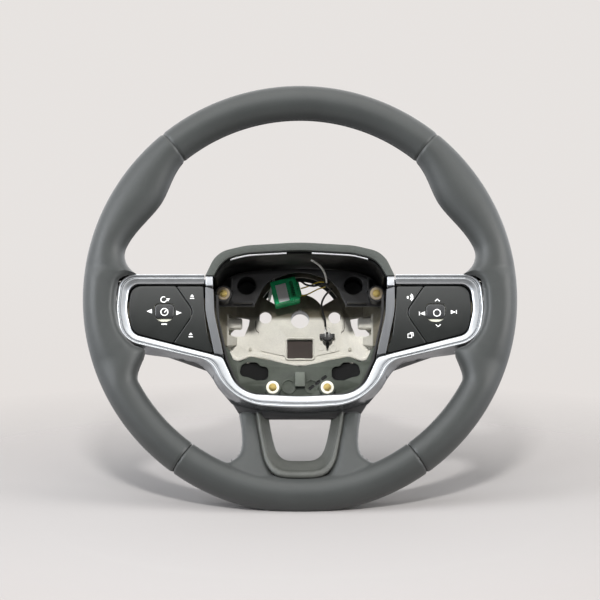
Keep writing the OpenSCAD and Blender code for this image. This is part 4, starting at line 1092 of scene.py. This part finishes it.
faces = {"pad": (padPiece, keyLacquer), "keys": (keysPiece, keyLacquer), "button": (buttonPiece, buttonGloss)}
for side in ("left", "right"):
    for part, (make, material) in faces.items():
        face = make()
        if side == "right":
            mirrored(face)
        nodeName = side + "_" + part
        piece = joined(nodeName, [face, hiddenPart(nodeName, padY + pack["hidden"])])
        smooth(piece, 40)
        finish(piece, side + part.capitalize() + "Piece", material, nodeName, [nodeName])
    well = wellFloor()
    if side == "right":
        mirrored(well)
    smooth(well, 50)
    finish(well, side + "ButtonWell", wellCream, side + "_pad")

# Plain marks on the keys: thin printed shapes
marks = {"rise": 0.06, "sunk": 0.3, "line": 0.75}


def strokes(points, width, closed=False):
    points = [Vector(point) for point in points]
    left, right = [], []
    for i, here in enumerate(points):
        after = points[(i + 1) % len(points)] if closed else points[min(i + 1, len(points) - 1)]
        before = points[i - 1] if closed or i else points[0]
        along = (after - before).normalized()
        off = Vector((-along.y, along.x)) * width / 2
        left.append(here + off)
        right.append(here - off)
    return left, right


def markPiece(x, z, shapes, level):
    pieces = []
    front, back = level(x, z) - marks["rise"], level(x, z) + marks["sunk"]
    for kind, data in shapes:
        if kind == "fill":
            pieces.append(raised([(x + px, z + pz) for px, pz in data], front, back))
        else:
            left, right = strokes(data, marks["line"], kind == "ring")
            rings = []
            for a, b in zip(left, right):
                around = ((a, back), (a, front), (b, front), (b, back))
                rings.append([(x + at.x, y, z + at.y) for at, y in around])
            pieces.append(lofted(rings, roundRing=True, roundLoop=kind == "ring", caps=kind != "ring"))
    # the marks follow the crowned face they are printed on
    for piece in pieces:
        for vertex in piece.data.vertices:
            vertex.co.y += (level(vertex.co.x / mm, vertex.co.z / mm) - level(x, z)) * mm
    return pieces


def circle(r, first=0, last=360, x=0):
    steps = 24
    turns = [radians(mixed(first, last, i / steps)) for i in range(steps + (0 if last - first == 360 else 1))]
    return [(x + r * cos(a), r * sin(a)) for a in turns]


def bar(width, height, x=0, z=0):
    return [(x - width / 2, z - height / 2), (x + width / 2, z - height / 2), (x + width / 2, z + height / 2),
            (x - width / 2, z + height / 2)]


def triangle(size, reach):
    return [(-size * reach, -size), (size * reach, 0), (-size * reach, size)]


# Where a mark lies on the pack: its place in the picture frame turned into mm
frameScale = {"u": 300.05, "v": 274, "x": 0.8505, "z": 0.8667, "top": 19.4}


def framePoint(u, v):
    return ((u - frameScale["u"]) * frameScale["x"],
            frameScale["top"] - (v - frameScale["v"]) * frameScale["z"])


keyMark = [("fill", [(-1.6, 0.3), (1.6, 0.3), (0, 2.4)]), ("fill", bar(3.6, 0.8, 0, -1.2))]
leftMarks = [
    ("pad", (164.7, 299.3), [("line", circle(2.4, 60, 350, -0.9)),
                             ("fill", [(1.2, 0.9), (4.4, 0.9), (2.8, -1.7)])]),
    ("pad", (149.3, 311.1), [("fill", triangle(1.9, -1.2))]),
    ("pad", (179.0, 312.7), [("fill", triangle(1.9, 1.2))]),
    ("pad", (164.3, 323.9), [("fill", bar(4.6, 1.0))]),
    ("button", (164.5, 311.8), [("ring", circle(3.0)), ("line", [(0, -0.4), (1.7, 1.5)])]),
    ("keys", (192.0, 296.6), keyMark),
    ("keys", (190.9, 335.0), keyMark),
]
rightMarks = [
    ("pad", (437.5, 300.2), [("line", [(-2.0, -0.7), (0, 1.2), (2.0, -0.7)])]),
    ("pad", (438.1, 325.0), [("line", [(-2.0, 0.7), (0, -1.2), (2.0, 0.7)])]),
    ("pad", (422.5, 313.3), [("fill", triangle(1.7, -1.2)), ("fill", bar(0.7, 3.2, -2.6, 0))]),
    ("pad", (453.3, 311.8), [("fill", triangle(1.7, 1.2)), ("fill", bar(0.7, 3.2, 2.6, 0))]),
    ("button", (437.0, 312.7), [("ring", circle(2.9))]),
    ("keys", (409.1, 297.0), [("line", circle(2.0, -60, 60)), ("line", circle(3.4, -60, 60)),
                              ("fill", bar(1.4, 2.2, -1.0, 0))]),
    ("keys", (410.4, 335.4), [("ring", [(-2.2, -1.6), (1.0, -1.6), (1.0, 1.6), (-2.2, 1.6)]),
                              ("line", [(-0.6, 2.6), (2.2, 2.6), (2.2, -0.6)])]),
]
levels = {
    "pad": lambda x, z: padY + borderSlope(-abs(x), z),
    "keys": lambda x, z: padY + keysSlope(x, z),
    "button": lambda x, z: padY - 0.2,
}
for side, table in (("left", leftMarks), ("right", rightMarks)):
    for part in ("pad", "keys", "button"):
        pieces = []
        for where, spot, shapes in table:
            if where == part:
                x, z = framePoint(*spot)
                pieces += markPiece(x, z, shapes, levels[part])
        piece = joined(side + part + "Marks", pieces)
        finish(piece, side + part.capitalize() + "Marks", markPaint, side + "_" + part)

# The hub
print("hub")


# Cast magnesium: cream with a cast skin; painted shade browns the upper half (the shroud's shadow, partly
# also the cast's own darker finish) and the arms beside the packs
castTone = {"brown": (0.125, 0.108, 0.07), "from": 0.0012, "edge": 280.0, "armFrom": 0.0635, "armEdge": 900.0,
            "patchScale": 60, "patchDetail": 4, "patchRough": 0.6, "patchGain": 0.5, "patchLeast": 0.66}


def castMaterial():
    material = makeMaterial("castMagnesium", (0.76, 0.74, 0.67), rough=0.55, metal=0.0, grainSize=1500,
                            bump=0.35, depth=0.0003, variation=0.08, pores=0.3, wearAmount=0.12, wearScale=45,
                            roughSpread=0.1)
    tree = material.node_tree
    shader = tree.nodes["Principled BSDF"]
    tone = shader.inputs["Base Color"].links[0].from_socket
    place = node(tree, "ShaderNodeTexCoord").outputs["Object"]
    axes = node(tree, "ShaderNodeSeparateXYZ")
    tree.links.new(place, axes.inputs[0])
    # painted shade of the shroud's shadow above the plate's middle, partly the cast's darker finish
    high = math(tree, "MULTIPLY", math(tree, "ADD", axes.outputs["Z"], castTone["from"]), castTone["edge"],
                True)
    # painted shade on the arms, which show dark through the gap between pack and bezel
    aside = math(tree, "SUBTRACT", math(tree, "ABSOLUTE", axes.outputs["X"]), castTone["armFrom"])
    aside = math(tree, "MULTIPLY", aside, castTone["armEdge"], True)
    high = math(tree, "MAXIMUM", high, aside)
    patch = noise(tree, place, castTone["patchScale"], castTone["patchDetail"], castTone["patchRough"])
    patch = math(tree, "ADD", math(tree, "MULTIPLY", patch, castTone["patchGain"]), castTone["patchLeast"])
    share = math(tree, "MULTIPLY", high, patch, True)
    tree.links.new(mixColour(tree, share, tone, castTone["brown"]), shader.inputs["Base Color"])
    return material


# The upper bushes are tan, a painted shade for the shroud's shadow over them; the lower ones are pale
bushTone = {"tan": (0.22, 0.18, 0.125), "edge": 1000.0}


def bushMaterial():
    material = makeMaterial("bushNylon", (0.72, 0.7, 0.6), rough=0.45, grainSize=1500, bump=0.1, depth=0.0001,
                            variation=0.05, wearAmount=0.1)
    tree = material.node_tree
    shader = tree.nodes["Principled BSDF"]
    tone = shader.inputs["Base Color"].links[0].from_socket
    axes = node(tree, "ShaderNodeSeparateXYZ")
    tree.links.new(node(tree, "ShaderNodeTexCoord").outputs["Object"], axes.inputs[0])
    # painted shade: tan above the middle of the hub
    high = math(tree, "MULTIPLY", axes.outputs["Z"], bushTone["edge"], True)
    tree.links.new(mixColour(tree, high, tone, bushTone["tan"]), shader.inputs["Base Color"])
    return material


castMagnesium = castMaterial()
coverOpening = [(55.8, 4), (43, 2.2), (44, -6), (48.2, -17), (62.4, -17), (63, -11.4), (57.8, -6.4)]


# The holes in the lower carrier, as the object has them, in place of the plainer ones of the solid
def slanted(width, height, radius, x, z, angle):
    a = radians(angle)
    line = boxLine(width, height, radius, steps=4)
    return [(x + px * cos(a) - pz * sin(a), z + px * sin(a) + pz * cos(a)) for px, pz in line]


oval = [(-50.4, -52.6, 4), (-45.5, -50.2, 3), (-37, -50.4, 3), (-34.4, -53.4, 2), (-27, -54.6, 4),
        (-27.4, -65.8, 4), (-37.6, -66.2, 4), (-44.6, -63.4, 4), (-52.6, -61.8, 4)]
slotTurn = 38
carrierHoles = [rounded(oval, 5), rounded(flipped(oval), 5)]
carrierHoles += [slanted(5.4, 2.7, 0.9, x, z, slotTurn) for x,
                 z in ((20.6, -63.8), (15.2, -68), (9.8, -72.2))]
carrierFillers = [slanted(28, 14.6, 2, -40.6, -58.6, -4), slanted(28, 14.6, 2, 40.6, -58.6, 4)]
carrierFillers += [slanted(8.4, 4.2, 1, x + 1, z, slotTurn) for x,
                   z in ((21.6, -69.6), (16.6, -73), (11.4, -76.6))]
copies = {
    "armature": (0.5, castMagnesium), "shroud_liner": (0.3, linerBlack), "bag_carrier": (0.4, blackPlastic),
    "lower_carrier": (0.4, greenGrey), "bag_studs": (0.3, brass), "stud_bushes": (0.4, bushMaterial()),
    "connector": (0.3, greenNylon), "connector_label": (0.08, labelWhite), "wire_clip": (0.5, blackGloss),
    "horn_contact": (0.12, contactMetal), "rear_cover": (0.8, coverPlastic),
    "hub_bush": (0.3, turnedSteel), "cover_screws": (0.2, dullZinc), "pack_screws": (0.15, screwSteel),
}
for name, (width, material) in copies.items():
    piece = copyOf(name, width, 2)
    if name == "rear_cover":
        for side in (-1, 1):
            cut(piece, raised([(side * x, z) for x, z in coverOpening], -22, 1))
    if name == "armature":
        for side in (-1, 1):
            cut(piece, raised(boxLine(13.2, 18.4, 0.5, side * 56.2, -7.2, 2), -36, plateY + 0.02))
    if name == "lower_carrier":
        for filler in carrierFillers:
            cut(piece, raised(filler, lowerFloorY, lowerFloorY + 2.5), "UNION")
        for hole in carrierHoles:
            cut(piece, raised(hole, lowerFloorY - 6, lowerFloorY + 4))
    words = name.split("_")
    finish(piece, words[0] + "".join(word.capitalize() for word in words[1:]) + "Piece", material,
           replaced=[name])


# Points spread evenly along an open line
def spread(points, count):
    points = [Vector(point) for point in points]
    lengths = [(b - a).length for a, b in zip(points, points[1:])]
    line, walked, i = [], 0.0, 0
    for k in range(count + 1):
        target = sum(lengths) * k / count
        while i < len(lengths) - 1 and walked + lengths[i] < target:
            walked += lengths[i]
            i += 1
        line.append(points[i].lerp(points[i + 1], clamp((target - walked) / lengths[i])))
    return line


print("opening")
# Upper shroud: an arch with a round front edge and a step that the liner goes into
shroud = {"front": -132.0, "back": backY, "step": 6.0, "wall": 2.4, "round": 1.5, "parts": 90,
          "turns": (0.4, 0.8, 1.2), "lip": [(0.8, 0.15), (0.25, 0.4), (0, 1)]}
shroudOuter = rounded([(-80.6, 17.8, 0), (-71.2, 38, 22), (-46, 44, 60), (0, 46.8, 200), (46, 44, 60),
                       (71.2, 38, 22), (80.6, 17.8, 0)], 10, openEnds=True)
shroudInner = rounded([(-73.4, 17.8, 0), (-65.5, 32.4, 22), (-45, 37.4, 50), (0, 39.9, 200), (45, 37.4, 50),
                       (65.5, 32.4, 22), (73.4, 17.8, 0)], 10, openEnds=True)


def shroudRings():
    rings = []
    for outer, inner in zip(spread(shroudOuter, shroud["parts"]), spread(shroudInner, shroud["parts"])):
        across = (inner - outer).normalized()
        width = (inner - outer).length
        front, back, r = shroud["front"], shroud["back"], shroud["round"]
        path = [(0, back), (0, front + r)]
        path += [(r * (1 - cos(a)), front + r * (1 - sin(a))) for a in shroud["turns"]]
        path += [(r, front)] + [(width - before, front + deep) for before, deep in shroud["lip"]]
        path += [(width, front + shroud["step"]), (shroud["wall"], front + shroud["step"]),
                 (shroud["wall"], back)]
        rings.append([(outer.x + across.x * by, y, outer.y + across.y * by) for by, y in path])
    return rings


shroudPiece = lofted(shroudRings(), roundRing=True, caps=True)
smooth(shroudPiece, 38)
finish(shroudPiece, "upperShroudPiece", grained, replaced=["upper_shroud"])

# Rolled bead along the lower edge of the hub plate
bead = {"r": 1.7, "y": -20.2, "left": [
    (-70.2, -16.9), (-68.3, -20.8), (-64, -24.6), (-60.9, -30.9), (-57.8, -35), (-54, -36), (-49.1, -34),
    (-44, -32.4),
    (-36.6, -33), (-26, -35.3), (-16.7, -38.2), (-8, -40)]}
beadLine = flowing([(x, bead["y"], z) for x, z in bead["left"] + [(0, -40.4)] + flipped(bead["left"])], 4)
beadPiece = tube(beadLine, bead["r"], 12)
smooth(beadPiece, 60)
finish(beadPiece, "plateBead", castMagnesium)

# Hooks: a rounded finger that points inwards over the window
hook = {"front": -35.0, "back": -29.4, "root": -66.4, "tip": -50.8, "top": -0.9, "low": -11.0, "round": 2.1,
        "bow": 2.2}


def hookFinger(side):
    middle = (hook["root"] + hook["tip"]) / 2
    shape = boxLine(hook["tip"] - hook["root"], hook["top"] - hook["low"], 2.2, -side * middle,
                    (hook["top"] + hook["low"]) / 2)
    finger = softened(raised(shape, hook["front"], hook["back"]), hook["round"], 4, 50)
    # the finger's front bows towards the driver like a bent tongue
    for vertex in finger.data.vertices:
        share = (vertex.co.z / mm - hook["low"]) / (hook["top"] - hook["low"])
        vertex.co.y += hook["bow"] * mm * (1 - 4 * share * (1 - share))
    return finger


hooks = joined("hookTabs", [hookFinger(1), hookFinger(-1)])
smooth(hooks, 50)
finish(hooks, "hookTabs", castMagnesium)

# Grey-green rests beside the hooks
rest = {"width": 4.6, "height": 10.8, "corner": 1.2, "x": 66.2, "z": -6.2, "front": -37, "back": -30}
restPieces = []
for side in (-1, 1):
    line = boxLine(rest["width"], rest["height"], rest["corner"], side * rest["x"], rest["z"])
    restPieces.append(softened(raised(line, rest["front"], rest["back"]), 0.6, 2))
restsPiece = joined("hookRests", restPieces)
smooth(restsPiece)
finish(restsPiece, "hookRests", greenGrey)

# Fine dark lines along the steps beside the raised field, painted shade where the step edges shade; two plain
# round cast marks
step = [(-39.1, -1.1), (-39.1, -8.8), (-38, -10.8), (-36.3, -12.4), (-35.5, -18), (-35, -25.3)]
stepPieces = [tube(flowing([(x, -20.3, z) for x, z in line], 4), 0.34, 8) for line in (step, flipped(step))]
steps = joined("stepLines", stepPieces)
smooth(steps, 60)
# dark brown for painted shade: the step lines and the shadowed space behind the window
brownPlastic = makeMaterial("brownPlastic", (0.05, 0.04, 0.036), rough=0.55, grainSize=1200, bump=0.3,
                            depth=0.0002)
finish(steps, "stepLines", brownPlastic)
castMark = {"r": 2.9, "wire": 0.28, "y": -21.2, "steps": 28, "at": [(18.5, -25.4), (29.2, -26.7)]}
castRings = []
for x, z in castMark["at"]:
    turns = [2 * pi * k / castMark["steps"] for k in range(castMark["steps"] + 1)]
    ring = [Vector((x + castMark["r"] * cos(a), castMark["y"], z + castMark["r"] * sin(a))) for a in turns]
    castRings.append(tube(ring, castMark["wire"], 6))
marksPiece = joined("castMarks", castRings)
smooth(marksPiece, 60)
finish(marksPiece, "castMarks", castMagnesium)

# Window in the hub plate: a rounded frame, with a dark brown panel behind it, painted shade for the shadowed
# space seen through the opening
windowFrame = {"width": 23.4, "height": 17.4, "corner": 1.4, "at": -26.6, "section": [
    (0, -19), (0, -21.2), (0.35, -21.9), (0.9, -22.1), (1.4, -21.8), (1.7, -21.1), (1.7, -20.5)]}
frameRings = []
for grow, y in windowFrame["section"]:
    line = boxLine(windowFrame["width"] + 2 * grow, windowFrame["height"] + 2 * grow,
                   windowFrame["corner"] + grow, 0, windowFrame["at"])
    frameRings.append([(x, y, z) for x, z in line])
framePiece = lofted(frameRings, roundRing=True)
smooth(framePiece, 60)
finish(framePiece, "windowFrame", castMagnesium)
# painted shade: a dark panel where the opening shows only shadow
shadePiece = softened(raised(boxLine(22.4, 16.4, 1.2, 0, windowFrame["at"]), -17.2, -16.4), 0.3, 1)
smooth(shadePiece)
finish(shadePiece, "windowShade", brownPlastic)

# Black cups and plates behind the holes of the lower carrier: painted shade, so that the holes look dark
deepBlack = makeMaterial("deepBlack", (0.004, 0.004, 0.004), rough=0.7, grainSize=900, bump=0.2,
                         specular=0.15)
cup = {"x": 40.6, "z": -58.6, "width": 14.4, "height": 8.4, "steps": 40, "back": -86.6, "section": [
    (0, -87.4), (0.04, -84), (0.16, -81), (0.45, -79.6), (0.85, -79.4)], "slotCover": [
    (8, -80.5), (14, -82), (30, -70), (26, -64), (20, -65)]}
cups = []
for side in (-1, 1):
    centre = Vector((side * cup["x"], cup["z"]))
    turns = [2 * pi * i / cup["steps"] for i in range(cup["steps"])]
    line = [centre + Vector((cup["width"] * cos(a), cup["height"] * sin(a))) for a in turns]
    rings = []
    for by, y in cup["section"]:
        rings.append([(at.x, y, at.y) for at in [point.lerp(centre, by) for point in line]])
    cups.append(lofted(rings, roundRing=True, caps=True))
    cups.append(raised([(side * x, z) for x, z in cup["slotCover"]], cup["section"][0][1], cup["back"]))
cupsPiece = joined("carrierCups", cups)
outwards(cupsPiece)
smooth(cupsPiece, 50)
finish(cupsPiece, "carrierCups", deepBlack)

# Pale tab in the middle of the lower carrier
tab = {"width": 8.4, "height": 12.4, "corner": 1, "z": -66, "front": -95.6, "back": -89.5}
paleTab = makeMaterial("paleTab", (0.09, 0.1, 0.085), rough=0.5, grainSize=900, bump=0.2)
tabLine = boxLine(tab["width"], tab["height"], tab["corner"], 0, tab["z"])
tabPiece = softened(raised(tabLine, tab["front"], tab["back"]), 0.6, 2)
smooth(tabPiece)
finish(tabPiece, "carrierTab", paleTab)

# Foam strips on the liner, thin and following its curve
strip = {"front": -128.4, "back": -118.4, "off": 0.9, "thick": 1.0, "from": 9.6, "to": 60.2, "every": 4}
for side, name in ((-1, "left"), (1, "right")):
    path = [point for point in spread(shroudInner, 240) if strip["from"] < side * point.x < strip["to"]]
    rings = []
    for i in range(0, len(path), strip["every"]):
        ahead = path[min(i + strip["every"], len(path) - 1)] - path[max(i - strip["every"], 0)]
        off = Vector((ahead.y, -ahead.x)).normalized()
        a, b = path[i] + off * strip["off"], path[i] + off * (strip["off"] + strip["thick"])
        around = ((a, strip["front"]), (b, strip["front"]), (b, strip["back"]), (a, strip["back"]))
        rings.append([(at.x, y, at.y) for at, y in around])
    piece = softened(lofted(rings, roundRing=True, caps=True), 0.25, 2, 50)
    smooth(piece, 40)
    finish(piece, name + "StripPiece", paleFoam, replaced=[name + "_foam_strip"])

# Cells and pale side of the plug
plug = {"x": -13.0, "z": 21.6, "turn": -14.0, "front": -44.0, "columns": 5, "rows": 9, "stepX": 1.9,
        "stepZ": 2.0, "firstX": 2.4, "firstZ": -8, "rise": 0.05, "sunk": 0.3, "sideFront": -41,
        "sideBack": -27}


def onPlug(x, z):
    a = radians(plug["turn"])
    return (plug["x"] + x * cos(a) - z * sin(a), plug["z"] + x * sin(a) + z * cos(a))


cells = []
for column in range(plug["columns"]):
    for row in range(plug["rows"]):
        x, z = plug["firstX"] + plug["stepX"] * column, plug["firstZ"] + plug["stepZ"] * row
        spot = [onPlug(*point) for point in boxLine(1.2, 1.3, 0.3, x, z, 2)]
        cells.append(raised(spot, plug["front"] - plug["rise"], plug["front"] + plug["sunk"]))
cellGreen = makeMaterial("cellGreen", (0.005, 0.19, 0.07), rough=0.5, grainSize=900, bump=0.1)
finish(joined("plugCells", cells), "plugCells", cellGreen)
sideLine = [onPlug(x, z) for x, z in boxLine(2.2, 18.6, 0.5, -12.4, -0.4)]
sidePiece = softened(raised(sideLine, plug["sideFront"], plug["sideBack"]), 0.3, 2)
smooth(sidePiece)
finish(sidePiece, "plugSide", labelWhite)

print("insert")
# Insert between the lower legs: a U with a rounded lip and a wall that slopes in to the opening
insert = {"tilt": 21.6, "at": -113.4, "top": -98.7, "parts": 54}
insertOuter = [(-37.9, -97), (-37.4, -99.6), (-35.9, -112), (-34, -123), (-32.1, -133), (-30.3, -140.4),
               (-27.4, -146.8), (-23.4, -151.8), (-18.4, -155), (-11.6, -156.4), (0, -156.7)]
insertHole = [(-27.4, -97), (-26.4, -102.7), (-24.8, -112), (-22.8, -122), (-20.5, -130), (-18.2, -134.6),
              (-15.2, -137.6), (-12, -139.2), (-8, -139.9), (0, -140.1)]
insertFace = [(0, 14), (0, 1.4), (0.03, 0.3), (0.08, -0.6), (0.15, -1.3), (0.23, -1.5), (0.31, -1.1),
              (0.37, -0.2), (0.42, 1), (0.5, 2), (0.75, 5), (0.96, 7.8), (1, 8.6), (1, 16)]


def insertRings():
    def whole(points):
        half = spread(points, insert["parts"])
        return half + [Vector((-point.x, point.y)) for point in reversed(half[:-1])]
    rings = []
    for outer, hole in zip(whole(insertOuter), whole(insertHole)):
        ring = []
        for share, deep in insertFace:
            at = outer.lerp(hole, share)
            lean = (at.y - insert["top"]) * tan(radians(insert["tilt"]))
            ring.append((at.x, insert["at"] + lean + deep, at.y))
        rings.append(ring)
    return rings


insertPiece = lofted(insertRings(), roundRing=True, caps=True)
smooth(insertPiece, 45)
finish(insertPiece, "lowerInsertPiece", insertPlastic, replaced=["lower_spoke_trim"])

# Black band that closes the seam between the bezel, the legs and the insert
band = [(-31, -102.2), (31, -102.2), (37, -98.4), (52, -97.4), (58, -88), (56, -78), (44, -90), (0, -93),
        (-44, -90), (-56, -78), (-58, -88), (-52, -97.4), (-37, -98.4)]
bandPiece = softened(raised(band, -111.4, -103), 0.4, 2)
smooth(bandPiece)
finish(bandPiece, "seamBand", blackPlastic)

# Hidden nodes keep their solids and get their finish; the gimbals get black, a painted shade for what shows
# through the gap between pad and bezel
finishes = {"foam": foamDark, "housing": blackPlastic, "board": boardGreen, "mat": silicone,
            "gimbal": blackPlastic}
for name, thing in nodes.items():
    for word, material in finishes.items():
        if name.endswith(word):
            for holder in thing.material_slots:
                holder.material = material

# Floor, world and lamps
print("stage")
floor = {"tilt": 20.0, "height": -0.1856, "y": -0.135, "radius": 0.62, "tone": (0.33, 0.317, 0.314, 1)}


def floorMaterial():
    material = bpy.data.materials.new("paleFloor")
    material.use_nodes = True
    tree = material.node_tree
    shader = tree.nodes["Principled BSDF"]
    shader.inputs["Base Color"].default_value = floor["tone"]
    shader.inputs["Roughness"].default_value = 0.9
    place = node(tree, "ShaderNodeTexCoord").outputs["Object"]
    length = node(tree, "ShaderNodeVectorMath", operation="LENGTH")
    tree.links.new(place, length.inputs[0])
    fade = ramp(tree, math(tree, "MULTIPLY", length.outputs["Value"], 1 / floor["radius"]),
                [(0.35, 0.0), (0.95, 1.0)])
    geometry = node(tree, "ShaderNodeNewGeometry")
    clear = node(tree, "ShaderNodeBsdfTransparent")
    blendNode = node(tree, "ShaderNodeMixShader")
    share = math(tree, "MAXIMUM", fade, geometry.outputs["Backfacing"])
    tree.links.new(share, blendNode.inputs[0])
    tree.links.new(shader.outputs[0], blendNode.inputs[1])
    tree.links.new(clear.outputs[0], blendNode.inputs[2])
    tree.links.new(blendNode.outputs[0], tree.nodes["Material Output"].inputs["Surface"])
    return material


leaveAll()
bpy.ops.mesh.primitive_circle_add(vertices=64, radius=floor["radius"], fill_type="NGON",
                                  location=(0, floor["y"], floor["height"]),
                                  rotation=(radians(floor["tilt"]), 0, 0))
floorPiece = bpy.context.object
floorPiece.name = "floorDisc"
floorPiece.data.materials.append(floorMaterial())

world = bpy.data.worlds.new("paleRoom")
bpy.context.scene.world = world
world.use_nodes = True
tree = world.node_tree
background = tree.nodes["Background"]
out = tree.nodes["World Output"]
direction = node(tree, "ShaderNodeTexCoord").outputs["Generated"]
axes = node(tree, "ShaderNodeSeparateXYZ")
tree.links.new(direction, axes.inputs[0])
height = math(tree, "ADD", math(tree, "MULTIPLY", axes.outputs["Z"], 0.5), 0.5)
glow = ramp(tree, height, [(0.0, (0.15, 0.145, 0.14)), (0.3, (0.15, 0.145, 0.14)),
                           (0.44, (0.16, 0.155, 0.155)), (0.56, (0.2, 0.2, 0.2)), (0.68, (0.72, 0.73, 0.74)),
                           (0.95, (0.95, 0.96, 0.98))])
leftward = math(tree, "MULTIPLY", axes.outputs["X"], -0.55, True)
glow = mixColour(tree, leftward, glow, (0.8, 0.84, 0.9))
tree.links.new(glow, background.inputs["Color"])
background.inputs["Strength"].default_value = 0.6
# what shiny pieces mirror: a bright room in front and above, dimmer below the wheel
mirroredTone = ramp(tree, height, [(0.0, 0.13), (0.3, 0.12), (0.42, 0.03), (0.5, 0.1), (0.56, 0.34),
                                   (0.62, 0.66), (0.71, 1.0), (0.82, 0.75), (1.0, 0.5)])
sideways = math(tree, "SUBTRACT", math(tree, "ABSOLUTE", axes.outputs["X"]), 0.3)
sideways = math(tree, "MULTIPLY", sideways, 1.3, True)
mirroredTone = mixColour(tree, sideways, mirroredTone, (0.9, 0.93, 1.0))
room = node(tree, "ShaderNodeBackground")
tree.links.new(mirroredTone, room.inputs["Color"])
room.inputs["Strength"].default_value = 2.2
pale = node(tree, "ShaderNodeBackground")
paleTone = ramp(tree, height, [(0.4, (0.46, 0.40, 0.41)), (0.52, (0.74, 0.69, 0.66)),
                               (0.6, (0.8, 0.77, 0.75))])
tree.links.new(paleTone, pale.inputs["Color"])
pale.inputs["Strength"].default_value = 1.0
rays = node(tree, "ShaderNodeLightPath")
seen = math(tree, "MAXIMUM", rays.outputs["Is Camera Ray"], rays.outputs["Is Transmission Ray"])
shiny = node(tree, "ShaderNodeMixShader")
tree.links.new(rays.outputs["Is Glossy Ray"], shiny.inputs[0])
tree.links.new(background.outputs[0], shiny.inputs[1])
tree.links.new(room.outputs[0], shiny.inputs[2])
choose = node(tree, "ShaderNodeMixShader")
tree.links.new(seen, choose.inputs[0])
tree.links.new(shiny.outputs[0], choose.inputs[1])
tree.links.new(pale.outputs[0], choose.inputs[2])
tree.links.new(choose.outputs[0], out.inputs["Surface"])

lamps = [
    {"name": "keyLamp", "at": (-0.08, -2.4, 0.75), "size": (0.26, 0.2), "power": 66,
     "colour": (1, 0.985, 0.965)},
    {"name": "frontBox", "at": (-0.3, -1.75, 1.3), "size": (1.3, 0.35), "power": 5, "colour": (1, 1, 1)},
    {"name": "overhead", "at": (0.1, -0.8, 1.8), "size": (1.8, 1.0), "power": 12, "colour": (1, 0.985, 0.96)},
    {"name": "leftWindow", "at": (-1.7, -1.3, 0.5), "size": (1.0, 1.4), "power": 36,
     "colour": (0.93, 0.96, 1)},
    {"name": "rightFill", "at": (1.8, -1.1, 0.4), "size": (1.0, 1.2), "power": 27, "colour": (1, 0.98, 0.95)},
]
for lamp in lamps:
    leaveAll()
    bpy.ops.object.light_add(type="AREA", location=lamp["at"])
    light = bpy.context.object
    light.name = lamp["name"]
    light.data.shape = "RECTANGLE"
    light.data.size, light.data.size_y = lamp["size"]
    light.data.energy = lamp["power"]
    light.data.color = lamp["colour"]
    light.visible_glossy = lamp["name"] != "keyLamp"
    light.rotation_euler = (Vector((0, -0.1, 0)) - light.location).to_track_quat("-Z", "Y").to_euler()
bpy.context.scene.view_settings.view_transform = "Standard"
